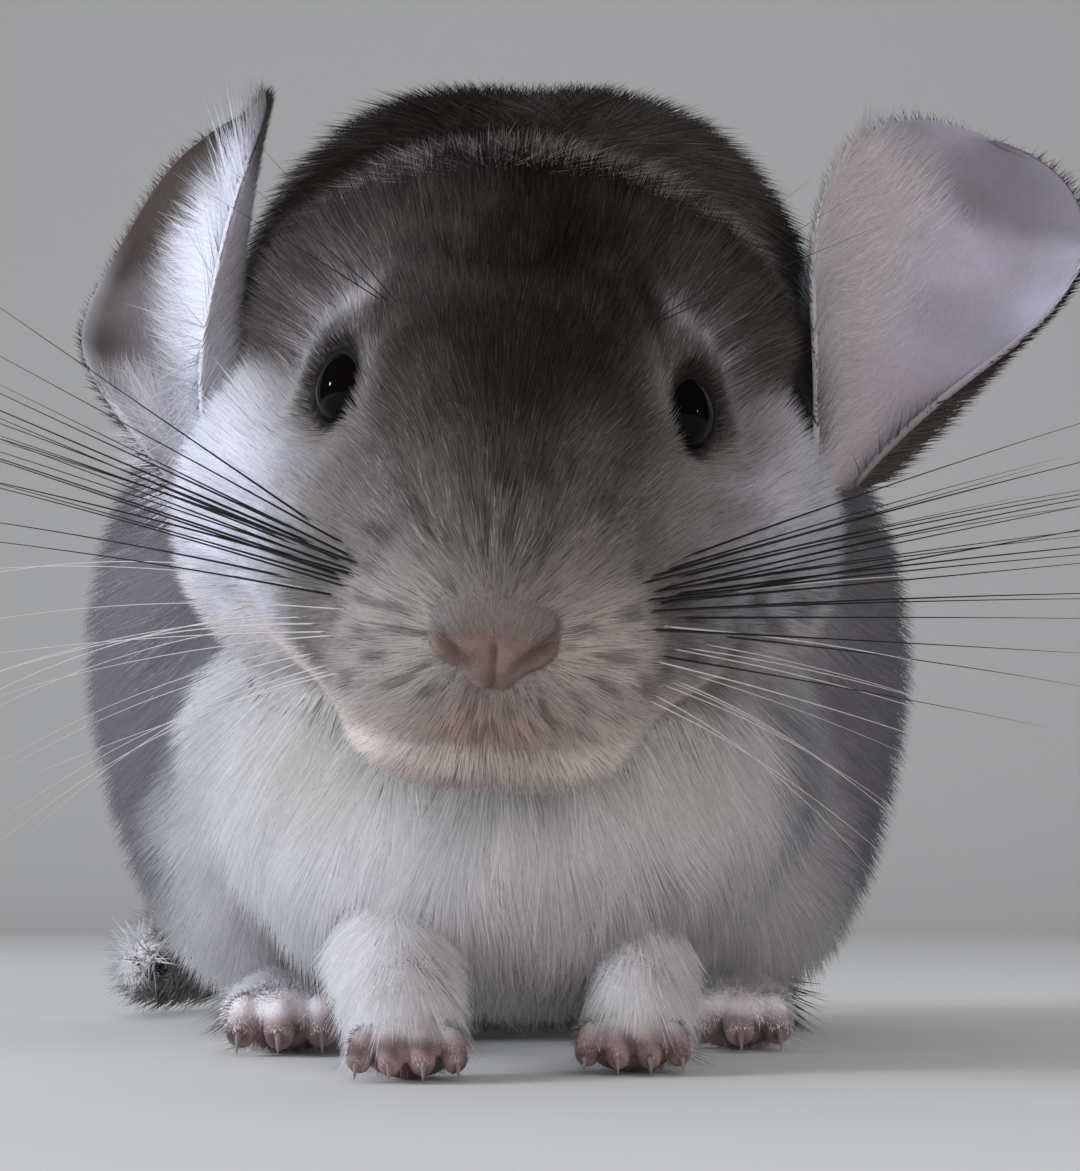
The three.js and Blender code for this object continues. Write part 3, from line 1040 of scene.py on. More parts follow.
def head_tint(head_points: Points) -> Points:
    """The markings of the head, with some painted light and shade.

    Args:
        head_points: Places in the head's frame.

    Returns:
        A linear colour for each place.
    """
    x, y, z = head_points.T
    out = np.abs(x)
    ragged = waves(head_points, 8.0, 11)
    fine = waves(head_points, 2.4, 12)
    tint = np.tile(Palette.FACE, (len(x), 1))
    cheek = smooth(out + 2.0 * ragged, 17.0, 29.0) * (1.0 - smooth(z + ragged, -9.0, -2.0))
    # Painted light: the cheek on the animal's right side, towards the window lamp, is painted paler than the
    # left one.
    tint = mixed(tint, Palette.CHEEK, cheek * np.where(x < 0, 1.0, 0.64))
    # The jowls are mottled with the brow's colour; on the animal's left side, away from the window lamp, more
    # of it is laid on as painted shade.
    jowl = smooth(out, 14.0, 22.0) * smooth(-z, 12.0, 20.0) * (1.0 - smooth(y, 4.0, 16.0))
    tint = mixed(tint, Palette.BROW, jowl * smooth(fine, 0.0, 0.9) * (0.25 + 0.4 * (x > 0)))
    muzzle = (1.0 - smooth(y + 0.3 * z, -36.0, -24.0)) * smooth(-z, 2.0, 14.0)
    tint = mixed(tint, Palette.MUZZLE, muzzle)
    # Painted light: the left half of the muzzle, away from the window lamp, is painted up to a fifth lighter
    # against its shade.
    tint = tint * (1.0 + 0.22 * muzzle * smooth(x, 0.0, 10.0))[:, None]
    snout = (1.0 - smooth(out + ragged, 11.0, 19.0)) * smooth(z, -15.0, -1.0)
    tint = mixed(tint, Palette.BROW, snout)
    width = 3.5 + 11.0 * smooth(y, -27.0, -4.0)
    stripe = (1.0 - smooth(out + 0.8 * ragged, width - 4.5, width + 5.0)) * smooth(y, -31.0, -19.0)
    tint = mixed(tint, Palette.CROWN * 0.9, stripe * smooth(z, -9.0, 0.0))
    side_fur = smooth(z + 1.5 * ragged + 0.2 * y, -3.0, 2.0) * smooth(out + ragged, 11.0, 17.0)
    side_fur = side_fur * smooth(y, 0.0, 9.0)
    tint = mixed(tint, Palette.MANTLE, side_fur)
    top = smooth(z + 1.2 * ragged + 0.1 * y, 4.5, 10.5) * smooth(y, -10.0, 0.0)
    tint = mixed(tint, Palette.MANTLE, top)
    # The dark middle of the crown, widened over the animal's left side by painted shade, away from the window
    # lamp.
    dark_core_and_shade = np.exp(-(((x - 2.0 + 2.0 * ragged) / 13.0) ** 2)) + 0.7 * smooth(x, 22.0, 29.0)
    tint = mixed(tint, Palette.CROWN * 0.62, top * np.minimum(dark_core_and_shade, 1.0))
    for _, side in SIDES:
        offset = head_points - eye_centre(side)
        gap = np.linalg.norm(offset * np.array([1.0, 0.9, 1.1]), axis=1)
        outer = smooth(offset @ unit(np.array([side * 0.7, 0.6, 0.4])) + 0.5 * ragged, 3.0, 7.5)
        pale = np.exp(-(((gap - 10.4) / 2.0) ** 2)) * outer
        tint = mixed(tint, Palette.PATCH, pale * 0.85)
        shadow = (1.0 - smooth(gap, 7.6, 9.4)) * smooth(offset @ np.array([side * 0.7, 0.5, 0.4]), 1.0, 5.0)
        tint = mixed(tint, Palette.BROW * 0.8, shadow * 0.9)
        close = 1.0 - smooth(np.linalg.norm(offset, axis=1), 5.9, 7.2)
        tint = mixed(tint, Palette.LID, close * 0.95)
    ahead = 1.0 - smooth(y, -27.0, -21.0)
    lips = np.exp(-(((z + 24.8) / 3.2) ** 2)) * (1.0 - smooth(out, 2.5, 8.5)) * ahead
    tint = mixed(tint, Palette.LIP, lips * 0.75)
    # Painted shade along the crease of the mouth.
    line = np.exp(-((off_mouth(x, z) / 0.5) ** 2)) * (1.0 - smooth(out, 1.5, 5.5))
    tint = mixed(tint, Palette.GROOVE_SHADE, line * ahead * 0.6)
    # Arcs of lighter and darker coat round the forehead: painted light and shade of the coat's folds.
    ripple = np.sin(np.linalg.norm(head_points - np.array([0.0, -6.0, 2.0]), axis=1) * 2.0 + 2.4 * ragged)
    tint = tint * (1.0 + 0.26 * ripple * smooth(y, 6.0, 18.0) * smooth(z, 4.0, 12.0))[:, None]
    # Painted shade on the back of the crown, which the lamps light from above.
    tint = tint * (1.0 - 0.5 * smooth(y, 17.0, 29.0) * smooth(z, 3.0, 12.0))[:, None]
    mottle = waves(head_points * np.array([1.0, 0.7, 0.7]), 1.5, 25)
    tint = tint * np.exp(0.3 * mottle * smooth(y, -16.0, 6.0) * smooth(z, -6.0, 8.0))[:, None]
    from_nose = head_points - NOSE_TIP
    gap = np.linalg.norm(from_nose, axis=1)
    rays = waves(unit(from_nose) * 14.0 + 0.12 * gap[:, None], 1.5, 26)
    rays = smooth(rays, 0.15, 0.9) * smooth(gap, 4.0, 8.0) * (1.0 - smooth(gap, 15.0, 28.0))
    tint = tint * (1.0 - 0.45 * rays)[:, None]
    under = smooth(-z + ragged, 22.5, 28.5) * (0.4 + 0.5 * (1.0 - smooth(y, -12.0, 0.0)))
    return mixed(tint, Palette.CHIN, under)


def torso_tint(points: Points) -> Points:
    """The markings of the neck, torso and legs, with some painted light and shade.

    Args:
        points: Places in the animal's frame.

    Returns:
        A linear colour for each place.
    """
    x, y, z = points.T
    ragged = waves(points, 14.0, 21) * 4.0
    out = np.abs(x + 1.0)
    tint = np.tile(Palette.FLANK, (len(x), 1))
    height = z + ragged - 0.12 * (y - 60.0)
    tint = mixed(tint, Palette.BACK, smooth(height, 54.0, 84.0))
    near_head = 1.0 - smooth(y + ragged, 60.0, 104.0)
    top = smooth(height - out * 0.35, 80.0, 108.0) * (0.35 + 0.6 * near_head)
    # Painted light: the dark mantle fades over the animal's right side, towards the window lamp.
    top = top * (1.0 - 0.65 * smooth(-x, 14.0, 36.0))
    tint = mixed(tint, Palette.MANTLE, top)
    # The dark middle of the nape, widened over the animal's left side by painted shade, away from the window
    # lamp.
    dark_core_and_shade = np.exp(-(((x + 2.0 + 0.8 * ragged) / 17.0) ** 2)) + 0.7 * smooth(x, 24.0, 33.0)
    tint = mixed(tint, Palette.CROWN * 0.66, top * near_head * np.minimum(dark_core_and_shade, 1.0))
    # Arcs of lighter and darker coat on the nape: painted light and shade of the coat's folds.
    ripple = np.sin(np.linalg.norm(points - np.array([0.0, 20.0, 84.0]), axis=1) * 2.0 + 0.7 * ragged)
    tint = tint * (1.0 + 0.3 * ripple * near_head * smooth(z, 92.0, 106.0))[:, None]
    tint = tint * np.exp(0.3 * waves(points, 1.7, 27) * smooth(z, 76.0, 100.0))[:, None]
    low = 12.0 * (1.0 - smooth(z, 14.0, 40.0))
    # Painted shade on the animal's right flank below the back, against the window lamp's light there.
    tint = tint * (1.0 - 0.22 * smooth(-x, 18.0, 40.0) * (1.0 - smooth(z, 70.0, 96.0)))[:, None]
    side_line = smooth(out + 0.9 * ragged - low, 28.5, 44.0) * smooth(z, 4.0, 18.0)
    behind = smooth(y - low, 46.0, 82.0) * smooth(z + ragged, 10.0, 28.0)
    white = (1.0 - smooth(height, 50.0, 72.0)) * (1.0 - np.maximum(side_line, behind))
    tint = mixed(tint, Palette.BELLY, white)
    ahead = 1.0 - smooth(y, 22.0, 40.0)
    # Painted shade on the chest under the chin.
    chin_shade = smooth(z + 0.4 * ragged, 30.0, 42.0) * ahead * (1.0 - smooth(out, 18.0, 32.0))
    tint = mixed(tint, Palette.UNDER_CHIN_SHADE, chin_shade * 0.8)
    # Painted shade on the low chest and between the forelegs, heavier on the animal's left side away from the
    # window lamp.
    low_shade = (1.0 - smooth(z, 16.0, 38.0)) * ahead * (0.25 + 0.6 * smooth(x, 4.0, 18.0))
    tint = mixed(tint, Palette.LOW_SHADE, low_shade)
    streaks = smooth(waves(points * np.array([1.0, 0.4, 0.22]), 1.7, 22), -0.1, 0.8)
    # Painted shade in a parting of the chest's coat.
    parting_shade = np.exp(-(((x + 0.2 * (z - 26.0) + 1.0) / 4.2) ** 2) - ((z - 27.0) / 7.0) ** 2) * ahead
    return mixed(tint, Palette.PARTING_SHADE, parting_shade * streaks * 0.75)


def speckled(tint: Points, draw: np.random.Generator, spread: float) -> Points:
    """Makes each row of colours a little lighter or darker by chance."""
    return tint * np.exp(draw.normal(0, spread, len(tint)))[:, None]


def owner(points: Points) -> Points:
    """How far each place belongs to the head rather than to the body, from 0 to 1."""
    return smooth(torso_skin(points) - head_skin(points), -3.0, 3.0)


def coat_tint(points: Points) -> Points:
    """The markings at places of the skin, with some painted light and shade, as linear colours.

    Args:
        points: Places in the animal's frame.

    Returns:
        A linear colour for each place.
    """
    whole = mixed(torso_tint(points), head_tint(to_head(points)), owner(points))
    legs = off_limbs(points)
    sleeve = (1.0 - smooth(legs, 0.5, 4.0)) * (1.0 - smooth(points[:, 2], 16.0, 30.0))
    whole = mixed(whole, Palette.BELLY, sleeve * 0.9)
    low = (1.0 - smooth(points[:, 2], 4.0, 10.0)) * sleeve
    return mixed(whole, Palette.PAW, low * 0.8)


def paint(piece: bpy.types.Object, tint: Points) -> None:
    """Gives a piece its colours, under the name that the finishes read.

    Args:
        piece: The piece.
        tint: One linear colour for each vertex, or one for them all.
    """
    layer = piece.data.color_attributes.new("tint", "FLOAT_COLOR", "POINT")
    rows = np.ones((len(piece.data.vertices), 4), np.float32)
    rows[:, :3] = tint
    layer.data.foreach_set("color", rows.ravel())


def vertices_of(piece: bpy.types.Object) -> Points:
    """The vertices of a piece, in the animal's millimetres.

    Args:
        piece: The piece.

    Returns:
        One row for each vertex.
    """
    flat = np.empty(len(piece.data.vertices) * 3, np.float32)
    piece.data.vertices.foreach_get("co", flat)
    return flat.reshape(-1, 3).astype(float) / MM - SHIFT


def dressed(
    piece: bpy.types.Object,
    slot: str,
    material: bpy.types.Material,
    nodes: Sequence[str] = (),
) -> bpy.types.Object:
    """Lets a piece ride on the model, with its finish and the solids that it stands for.

    Args:
        piece: The piece.
        slot: The name of a slot of its looks; it is only read so that coat pieces which stand for no solid
            cast no shadow.
        material: Its finish.
        nodes: The solids that it stands for.

    Returns:
        The piece.
    """
    piece.data.materials.clear()
    piece.data.materials.append(material)
    if slot.startswith("coat") and not nodes:
        piece.visible_shadow = False
    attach(piece, "root")
    if nodes:
        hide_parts(*nodes)
    log.info("%s: %d faces", piece.name, len(piece.data.polygons))
    return piece


# Surfaces that hair grows on


@dataclass
class Roots:
    """Where tufts leave a surface.

    Attributes:
        place: Their places.
        normal: The surface's normals there.
        unwrap: Their places on the unwrap of the surface.
        leaf: Two more numbers that the surface carries, or zeros.
    """

    place: Points
    normal: Points
    unwrap: Points
    leaf: Points

    def chosen(self, keep: Points) -> "Roots":
        """Only the roots that a mask or a row of indices keeps."""
        return Roots(self.place[keep], self.normal[keep], self.unwrap[keep], self.leaf[keep])

    def __len__(self) -> int:
        """How many there are."""
        return len(self.place)


class Surface:
    """A triangulated surface, ready for roots to be scattered over it."""

    def __init__(self, piece: bpy.types.Object, leaf: Points | None = None) -> None:
        """Reads the mesh of a piece.

        Args:
            piece: The piece, with its first UV map as the unwrap.
            leaf: Two numbers for each vertex that its roots should carry.
        """
        mesh = piece.data
        mesh.calc_loop_triangles()
        count = len(mesh.loop_triangles)
        corners = np.empty(count * 3, np.int32)
        loops = np.empty(count * 3, np.int32)
        mesh.loop_triangles.foreach_get("vertices", corners)
        mesh.loop_triangles.foreach_get("loops", loops)
        normals = np.empty(len(mesh.vertices) * 3, np.float32)
        mesh.vertex_normals.foreach_get("vector", normals)
        unwrap = np.zeros(len(mesh.loops) * 2, np.float32)
        if mesh.uv_layers:
            mesh.uv_layers[0].uv.foreach_get("vector", unwrap)
        self.corners = corners.reshape(-1, 3)
        self.vertices = vertices_of(piece)
        self.normals = normals.reshape(-1, 3).astype(float)
        self.unwrap = unwrap.reshape(-1, 2)[loops.reshape(-1, 3)].astype(float)
        self.leaf = np.zeros((len(mesh.vertices), 2)) if leaf is None else leaf

    def scatter(self, density: Callable[[Points, Points, Points], Points], seed: int) -> Roots:
        """Scatters roots.

        Args:
            density: Tufts for each square millimetre, from places, normals and leaf numbers.
            seed: Which scatter.

        Returns:
            The roots.
        """
        draw = np.random.default_rng(seed)
        a, b, c = (self.vertices[self.corners[:, i]] for i in range(3))
        area = np.linalg.norm(np.cross(b - a, c - a), axis=1) / 2
        middle = (a + b + c) / 3
        facing = unit(self.normals[self.corners].sum(axis=1))
        wanted = area * density(middle, facing, self.leaf[self.corners].mean(axis=1))
        count = np.floor(wanted + draw.random(len(wanted))).astype(int)
        chosen = np.repeat(np.arange(len(count)), count)
        u, v = draw.random((2, len(chosen)))
        over = u + v > 1
        u, v = np.where(over, 1 - u, u), np.where(over, 1 - v, v)
        share = np.stack([1 - u - v, u, v], axis=1)[:, :, None]
        corner = self.corners[chosen]
        return Roots(
            (self.vertices[corner] * share).sum(axis=1),
            unit((self.normals[corner] * share).sum(axis=1)),
            (self.unwrap[chosen] * share).sum(axis=1),
            (self.leaf[corner] * share).sum(axis=1),
        )


def unwrapped(piece: bpy.types.Object) -> None:
    """Unwraps the faces of a piece by its own shape, into a UV map named OFBake.

    Args:
        piece: The piece.
    """
    piece.data.uv_layers.new(name="OFBake")
    bpy.context.view_layer.objects.active = piece
    piece.select_set(True)
    bpy.ops.object.mode_set(mode="EDIT")
    bpy.ops.mesh.select_all(action="SELECT")
    bpy.ops.uv.smart_project(angle_limit=math.radians(70), island_margin=0.002)
    bpy.ops.object.mode_set(mode="OBJECT")
    piece.select_set(False)


# Tufts


@dataclass
class Growth:
    """How the tufts of some roots grow, with one row or number for each root.

    Attributes:
        lie: The way that they lie along the surface.
        length: Their length.
        width: Their half width.
        lift: The angle from the surface at which they leave it, in radians.
        bend: How far they have turned back towards the surface at their tips, in radians.
        tints: Their colours at the root, the middle and the tip.
    """

    lie: Points
    length: Points
    width: Points
    lift: Points
    bend: Points
    tints: tuple[Points, Points, Points]


class TuftShape(Enum):
    """Where a tuft has its ring of three points, from 0 at its root to 1 at its tip."""

    SPIKE = 0.0
    FINE = 0.38


RING = np.array([math.pi / 2, math.pi * 7 / 6, math.pi * 11 / 6])
PATCH = 0.003
SOFTNESS = 0.8
ROOT_DEPTH = 0.5
RING_DEPTH = 0.35
LOWEST = 0.12


def tuft_faces(shape: TuftShape) -> Points:
    """The triangles of one closed tuft.

    Args:
        shape: Which tuft.

    Returns:
        Rows of three vertex numbers: the root, if it is a point, then the ring, then the tip.
    """
    if shape is TuftShape.SPIKE:
        return np.array([(0, 2, 1), (0, 1, 3), (1, 2, 3), (2, 0, 3)], np.int32)
    return np.array([(0, 2, 1), (0, 3, 2), (0, 1, 3), (1, 2, 4), (2, 3, 4), (3, 1, 4)], np.int32)


def soften(mesh: bpy.types.Mesh, normals: Points) -> None:
    """Lets tufts take the light much as the skin under them does, as soft hair that glows through.

    Args:
        mesh: The mesh of the tufts.
        normals: The skin's normal at the root of each vertex's tuft.
    """
    own = np.empty(len(mesh.vertices) * 3, np.float32)
    mesh.vertex_normals.foreach_get("vector", own)
    blended = unit(own.reshape(-1, 3) * (1.0 - SOFTNESS) + normals * SOFTNESS)
    layer = mesh.attributes.new("custom_normal", "FLOAT_VECTOR", "POINT")
    layer.data.foreach_set("vector", blended.astype(np.float32).ravel())
    mesh.update()


def grown(name: str, roots: Roots, growth: Growth, shape: TuftShape, seed: int) -> bpy.types.Object:
    """Makes one closed tapering tuft at each root, joined in one mesh.

    Args:
        name: The name of the object.
        roots: Where they grow.
        growth: How they grow.
        shape: Which tuft.
        seed: Which turn each tuft has about its own line.

    Returns:
        The object, with its colours and the UV map OFBake.
    """
    draw = np.random.default_rng(seed)
    count = len(roots)
    normal = roots.normal
    lie = unit(growth.lie - normal * (growth.lie * normal).sum(axis=1, keepdims=True))
    side = np.cross(lie, normal)

    def heading(share: float) -> Points:
        """The way that the tufts point at a share of their length."""
        angle = (growth.lift - growth.bend * share)[:, None]
        return lie * np.cos(angle) + normal * np.sin(angle)

    def place(share: float) -> Points:
        """Where the middle lines of the tufts are at a share of their length."""
        reach = growth.length[:, None] * share
        return roots.place + heading(share * 0.5) * reach

    pointed = shape is not TuftShape.SPIKE
    columns = [roots.place - normal * ROOT_DEPTH] if pointed else []
    tints = [growth.tints[0]] if pointed else []
    patch = [(0.0, -0.5)] if pointed else []
    turn = draw.uniform(0, 2 * math.pi, count)[:, None]
    up = np.cross(heading(shape.value), side)
    for i, angle in enumerate(RING):
        around = side * np.cos(angle + turn) + up * np.sin(angle + turn)
        ring = place(shape.value) + around * growth.width[:, None]
        columns.append(ring - normal * (0.0 if pointed else RING_DEPTH))
        tints.append(growth.tints[1])
        patch.append(((i - 1) * 0.45, shape.value - 0.5 + 0.12 * (i == 1)))
    columns.append(place(1.0))
    tints.append(growth.tints[2])
    patch.append((0.0, 0.5))
    vertices = np.stack(columns, axis=1)
    vertices[:, :, 2] = np.maximum(vertices[:, :, 2], LOWEST)
    faces = tuft_faces(shape)
    size = vertices.shape[1]
    order = (faces[None] + np.arange(count)[:, None, None] * size).reshape(-1)
    mesh = bpy.data.meshes.new(name)
    mesh.vertices.add(count * size)
    mesh.vertices.foreach_set("co", in_frame(vertices.reshape(-1, 3)).astype(np.float32).ravel())
    mesh.loops.add(len(order))
    mesh.loops.foreach_set("vertex_index", order.astype(np.int32))
    mesh.polygons.add(len(order) // 3)
    mesh.polygons.foreach_set("loop_start", np.arange(0, len(order), 3, dtype=np.int32))
    spots = roots.unwrap[:, None, :] + np.array(patch)[None] * PATCH
    layer = mesh.uv_layers.new(name="OFBake")
    layer.uv.foreach_set("vector", spots.reshape(-1, 2)[order].astype(np.float32).ravel())
    mesh.update(calc_edges=True)
    mesh.shade_smooth()
    soften(mesh, np.repeat(normal, size, axis=0))
    piece = shown(name, mesh)
    paint(piece, np.stack(tints, axis=1).reshape(-1, 3))
    return piece


# The skin and its coat


@dataclass
class Skin:
    """The one skin of head, neck, torso, legs and tail.

    Attributes:
        voxel: The size of its faces, in millimetres.
        rounds: How many rounds of smoothing it gets.
        tail_radius: The radius of the tail's core.
    """

    voxel: float = 1.08
    rounds: int = 5
    tail_radius: float = 4.6

    def build(self) -> bpy.types.Object:
        """Melts the skin together and paints it.

        Returns:
            The skin, with its unwrap.
        """
        bm = bmesh.new()
        pushed_out(bm, from_head(HEAD_MIDDLE), 7, lambda p: melted(head_skin(p), torso_skin(p), p))
        pushed_out(bm, TORSO_MIDDLE, 7, lambda p: melted(torso_skin(p), head_skin(p), p))
        masses = placed_mesh("masses", bm)
        limbs = [Strand(np.array(limb.path), limb.radii) for limb in LIMBS]
        tail = TAIL.line(12)
        radii = [self.tail_radius + 2.0] + [self.tail_radius] * 9 + [self.tail_radius * 0.8, 1.5]
        legs = rods("limbs", [*limbs, Strand(tail, radii)], sides=6, steps=8)
        skin = fused("skin", [masses, legs], self.voxel, self.rounds)
        unwrapped(skin)
        paint(skin, self.tint(vertices_of(skin)))
        return dressed(skin, "coat_grey", HideFinish("under_fur").material(), FLESH)

    def tint(self, points: Points) -> Points:
        """The markings of the skin, tail included, with some painted light and shade."""
        return mixed(coat_tint(points), Palette.TAIL, TAIL.share(points))


@dataclass
class Tail:
    """A tail that curls round the right haunch, under long loose hair.

    Attributes:
        path: The points of its middle line.
        coat: How far its hair reaches out of that line.
    """

    path: tuple[tuple[float, float, float], ...] = (
        (0, 148, 34),
        (0, 158, 30),
        (-3, 178, 19),
        (-17, 192, 13),
        (-37, 192, 11),
        (-54, 178, 10),
        (-60, 158, 9.5),
        (-58, 141, 9),
    )
    coat: float = 13.0

    def line(self, count: int) -> Points:
        """Points along the tail.

        Args:
            count: How many.

        Returns:
            Their places, evenly by their share of the path.
        """
        path = np.array(self.path, float)
        ends = np.vstack([2 * path[0] - path[1], path, 2 * path[-1] - path[-2]])
        share = np.linspace(0, len(path) - 1 - 1e-6, count)
        i = share.astype(int)
        t = (share - i)[:, None]
        p0, p1, p2, p3 = (ends[i + k] for k in range(4))
        cubic = (2 * p0 - 5 * p1 + 4 * p2 - p3) * t * t + (3 * p1 - p0 - 3 * p2 + p3) * t**3
        return 0.5 * (2 * p1 + (p2 - p0) * t + cubic)

    def nearest(self, points: Points) -> tuple[Points, Points, Points]:
        """The nearest place of the middle line.

        Args:
            points: Places in the animal's frame.

        Returns:
            How far each lies from the line, the share along it from 0 to 1, and its heading.
        """
        line = self.line(80)
        gap = np.linalg.norm(points[:, None, :] - line[None], axis=2)
        i = gap.argmin(axis=1)
        along = unit(np.gradient(line, axis=0))
        return gap[np.arange(len(points)), i], i / 79.0, along[i]

    def share(self, points: Points) -> Points:
        """How far each place belongs to the tail, from 0 to 1.

        Args:
            points: Places in the animal's frame.

        Returns:
            The share of each place.
        """
        gap, along, _ = self.nearest(points)
        return (1.0 - smooth(gap, 8.0, 13.0)) * smooth(points[:, 1], 128.0, 150.0) + (
            (1.0 - smooth(gap, 7.0, 9.0)) * smooth(along, 0.6, 0.7) * (1.0 - smooth(points[:, 2], 12.0, 18.0))
        ) * (1.0 - smooth(points[:, 1], 128.0, 150.0))


TAIL = Tail()


@dataclass
class Coat:
    """The plush coat over the whole skin.

    Attributes:
        skin: The skin that it grows on.
        fine: How much of its planned density it has.
        triangle_limit: The most triangles in one piece.
        on_head: Tufts for each square millimetre behind the face.
        on_face: How many more grow on the face.
        on_back: Tufts for each square millimetre of the back and the flanks.
        on_front: How many more grow on what looks ahead.
        on_nape: How many more grow on the nape.
        on_chest: How many more grow on the chest.
        on_legs: How many more grow on the legs.
        lift: The angle at which the coat leaves the skin, in degrees.
        bend: The angle by which the body's coat turns back to the skin, in degrees.
    """

    skin: bpy.types.Object
    fine: float = 1.0
    triangle_limit: int = 195000
    on_head: float = 7.6
    on_face: float = 7.8
    on_back: float = 1.55
    on_front: float = 3.2
    on_nape: float = 3.6
    on_chest: float = 1.9
    on_legs: float = 3.6
    lift: float = 34.0
    bend: float = 20.0

    def density(self, points: Points, normals: Points, leaf: Points) -> Points:
        """Tufts for each square millimetre of skin.

        Args:
            points: Places on the skin.
            normals: The normals there.
            leaf: Not used.

        Returns:
            The density at each place.
        """
        local = to_head(points)
        head = owner(points)
        face = 1.0 - smooth(local[:, 1], -6.0, 24.0)
        on_head = self.on_head + self.on_face * face
        ahead = smooth(-normals[:, 1], -0.35, 0.45)
        hidden = 1.0 - 0.6 * (1.0 - smooth(points[:, 2], 2.0, 7.0))
        on_body = (self.on_back + self.on_front * ahead) * hidden + self.on_nape * nape_share(points)
        chest = ahead * (1.0 - smooth(points[:, 1], 40.0, 56.0)) * (1.0 - smooth(points[:, 2], 60.0, 74.0))
        total = (on_body + self.on_chest * chest) * (1 - head) + on_head * head
        legs = off_limbs(points)
        leg = self.on_legs * (1.0 - smooth(legs, 0.5, 3.0))
        total = total + leg * (1.0 - smooth(points[:, 2], 14.0, 24.0))
        for _, side in SIDES:
            off, along = off_gaze(local, side)
            total = total * np.maximum(smooth(off, 4.6, 5.2), 1.0 - smooth(along, -1.0, 0.0))
        total = total * (smooth(NOSE.distance(local), -0.4, 0.8) * head + 1 - head)
        return total * (1.0 - TAIL.share(points)) * self.fine

    def lie(self, points: Points, normals: Points) -> Points:
        """The way that the coat lies at each place.

        Args:
            points: Places on the skin.
            normals: The normals there.

        Returns:
            Directions, not yet laid along the surface.
        """
        local = to_head(points)
        from_nose = unit(local - NOSE_TIP)
        from_nose = unit(from_nose + np.array([0.0, 0.55, -0.12]) * smooth(local[:, 1], -5.0, 22.0)[:, None])
        for _, side in SIDES:
            offset = local - eye_centre(side)
            gap = np.linalg.norm(offset, axis=1)
            near = (1.0 - smooth(gap, 6.0, 12.0))[:, None]
            from_nose = unit(from_nose + unit(offset) * near * 0.9)
        on_head = from_nose @ HEAD_TURN.T
        x = points[:, 0]
        chest = smooth(-normals[:, 1], -0.25, 0.5) * (1.0 - smooth(points[:, 1], 46.0, 66.0))
        spread = np.stack([np.clip(x / 90.0, -0.5, 0.5), np.full(len(x), 0.05), -np.ones(len(x))], axis=1)
        along = np.stack([x * 0.0, np.ones(len(x)), np.full(len(x), -0.42)], axis=1)
        rear = smooth(points[:, 1], 110.0, 150.0)[:, None]
        along = along + rear * np.array([0.0, -0.7, -0.9])
        on_body = unit(mixed(along, spread, chest))
        total = mixed(on_body, on_head, owner(points))
        legs = off_limbs(points, FORELEGS)
        sleeve = (1.0 - smooth(legs, 1.0, 5.0)) * (1.0 - smooth(points[:, 2], 18.0, 28.0))
        total = mixed(total, np.array([0.0, -0.35, -1.0]), sleeve)
        shins = off_limbs(points, SHINS)
        return mixed(total, np.array([0.0, -1.0, -0.3]), (1.0 - smooth(shins, 0.5, 2.5)))

    def growth(self, roots: Roots, seed: int) -> Growth:
        """How the coat grows at its roots.

        Args:
            roots: The roots.
            seed: Which draw of small differences.

        Returns:
            The growth.
        """
        draw = np.random.default_rng(seed)
        points, normals = roots.place, roots.normal
        count = len(roots)
        local = to_head(points)
        head = owner(points)
        front = (1.0 - smooth(local[:, 1], -14.0, 16.0)) * head
        depth = head_depth(local) * head + torso_depth(points) * (1 - head)
        legs = off_limbs(points)
        leg = (1.0 - smooth(legs, 0.5, 4.0)) * (1.0 - smooth(points[:, 2], 18.0, 28.0))
        depth = depth * (1 - leg) + 2.4 * leg
        lift = np.radians(self.lift - 12.0 * front * head - 13.0 * leg)
        lift = lift * draw.normal(1.0, 0.14, count)
        bend = np.radians(self.bend) * draw.normal(1.0, 0.3, count) * (1 - head)
        length = depth / np.sin(np.clip(lift - bend * 0.5, 0.25, 1.3)) * draw.uniform(0.72, 1.08, count)
        length = np.clip(length, 1.5, 17.0)
        chest = smooth(-normals[:, 1], 0.2, 0.7) * (1 - head) * (1 - leg)
        width = (0.09 + 0.0058 * length) * draw.uniform(0.75, 1.25, count)
        length = length * (1.0 - 0.3 * chest)
        loose = (0.65 + 0.35 * (1 - head) - 0.25 * chest - 0.4 * leg)[:, None]
        wander = drift(points, 2.2, 31) * 0.16 + drift(points, 6.0, 41) * (0.12 + 0.12 * chest)[:, None]
        wander = wander + draw.normal(0, 0.11, (count, 3))
        lie = unit(self.lie(points, normals)) + wander * loose
        tint = coat_tint(points)
        deep = np.clip(tint.mean(axis=1) * 6.0, 0.0, 1.0)
        grain = draw.normal(0, 1.0, count) * (0.26 - 0.19 * deep) + 0.07 * waves(points, 3.0, 51)
        dark = 1.0 - (0.12 + 0.33 * head)[:, None] * (draw.random(count) < 0.09 + 0.07 * front)[:, None]
        pale = 1.0 + 0.9 * (draw.random(count) < 0.12)[:, None] * (tint.mean(axis=1) < 0.12)[:, None]
        tint = tint * np.exp(grain)[:, None] * dark * pale
        middle = tint * (1.2 - 0.22 * deep)[:, None]
        tip = tint * (0.95 + 0.10 * deep)[:, None]
        return Growth(lie, length, width, lift, bend, (tint * 0.88, middle, tip))

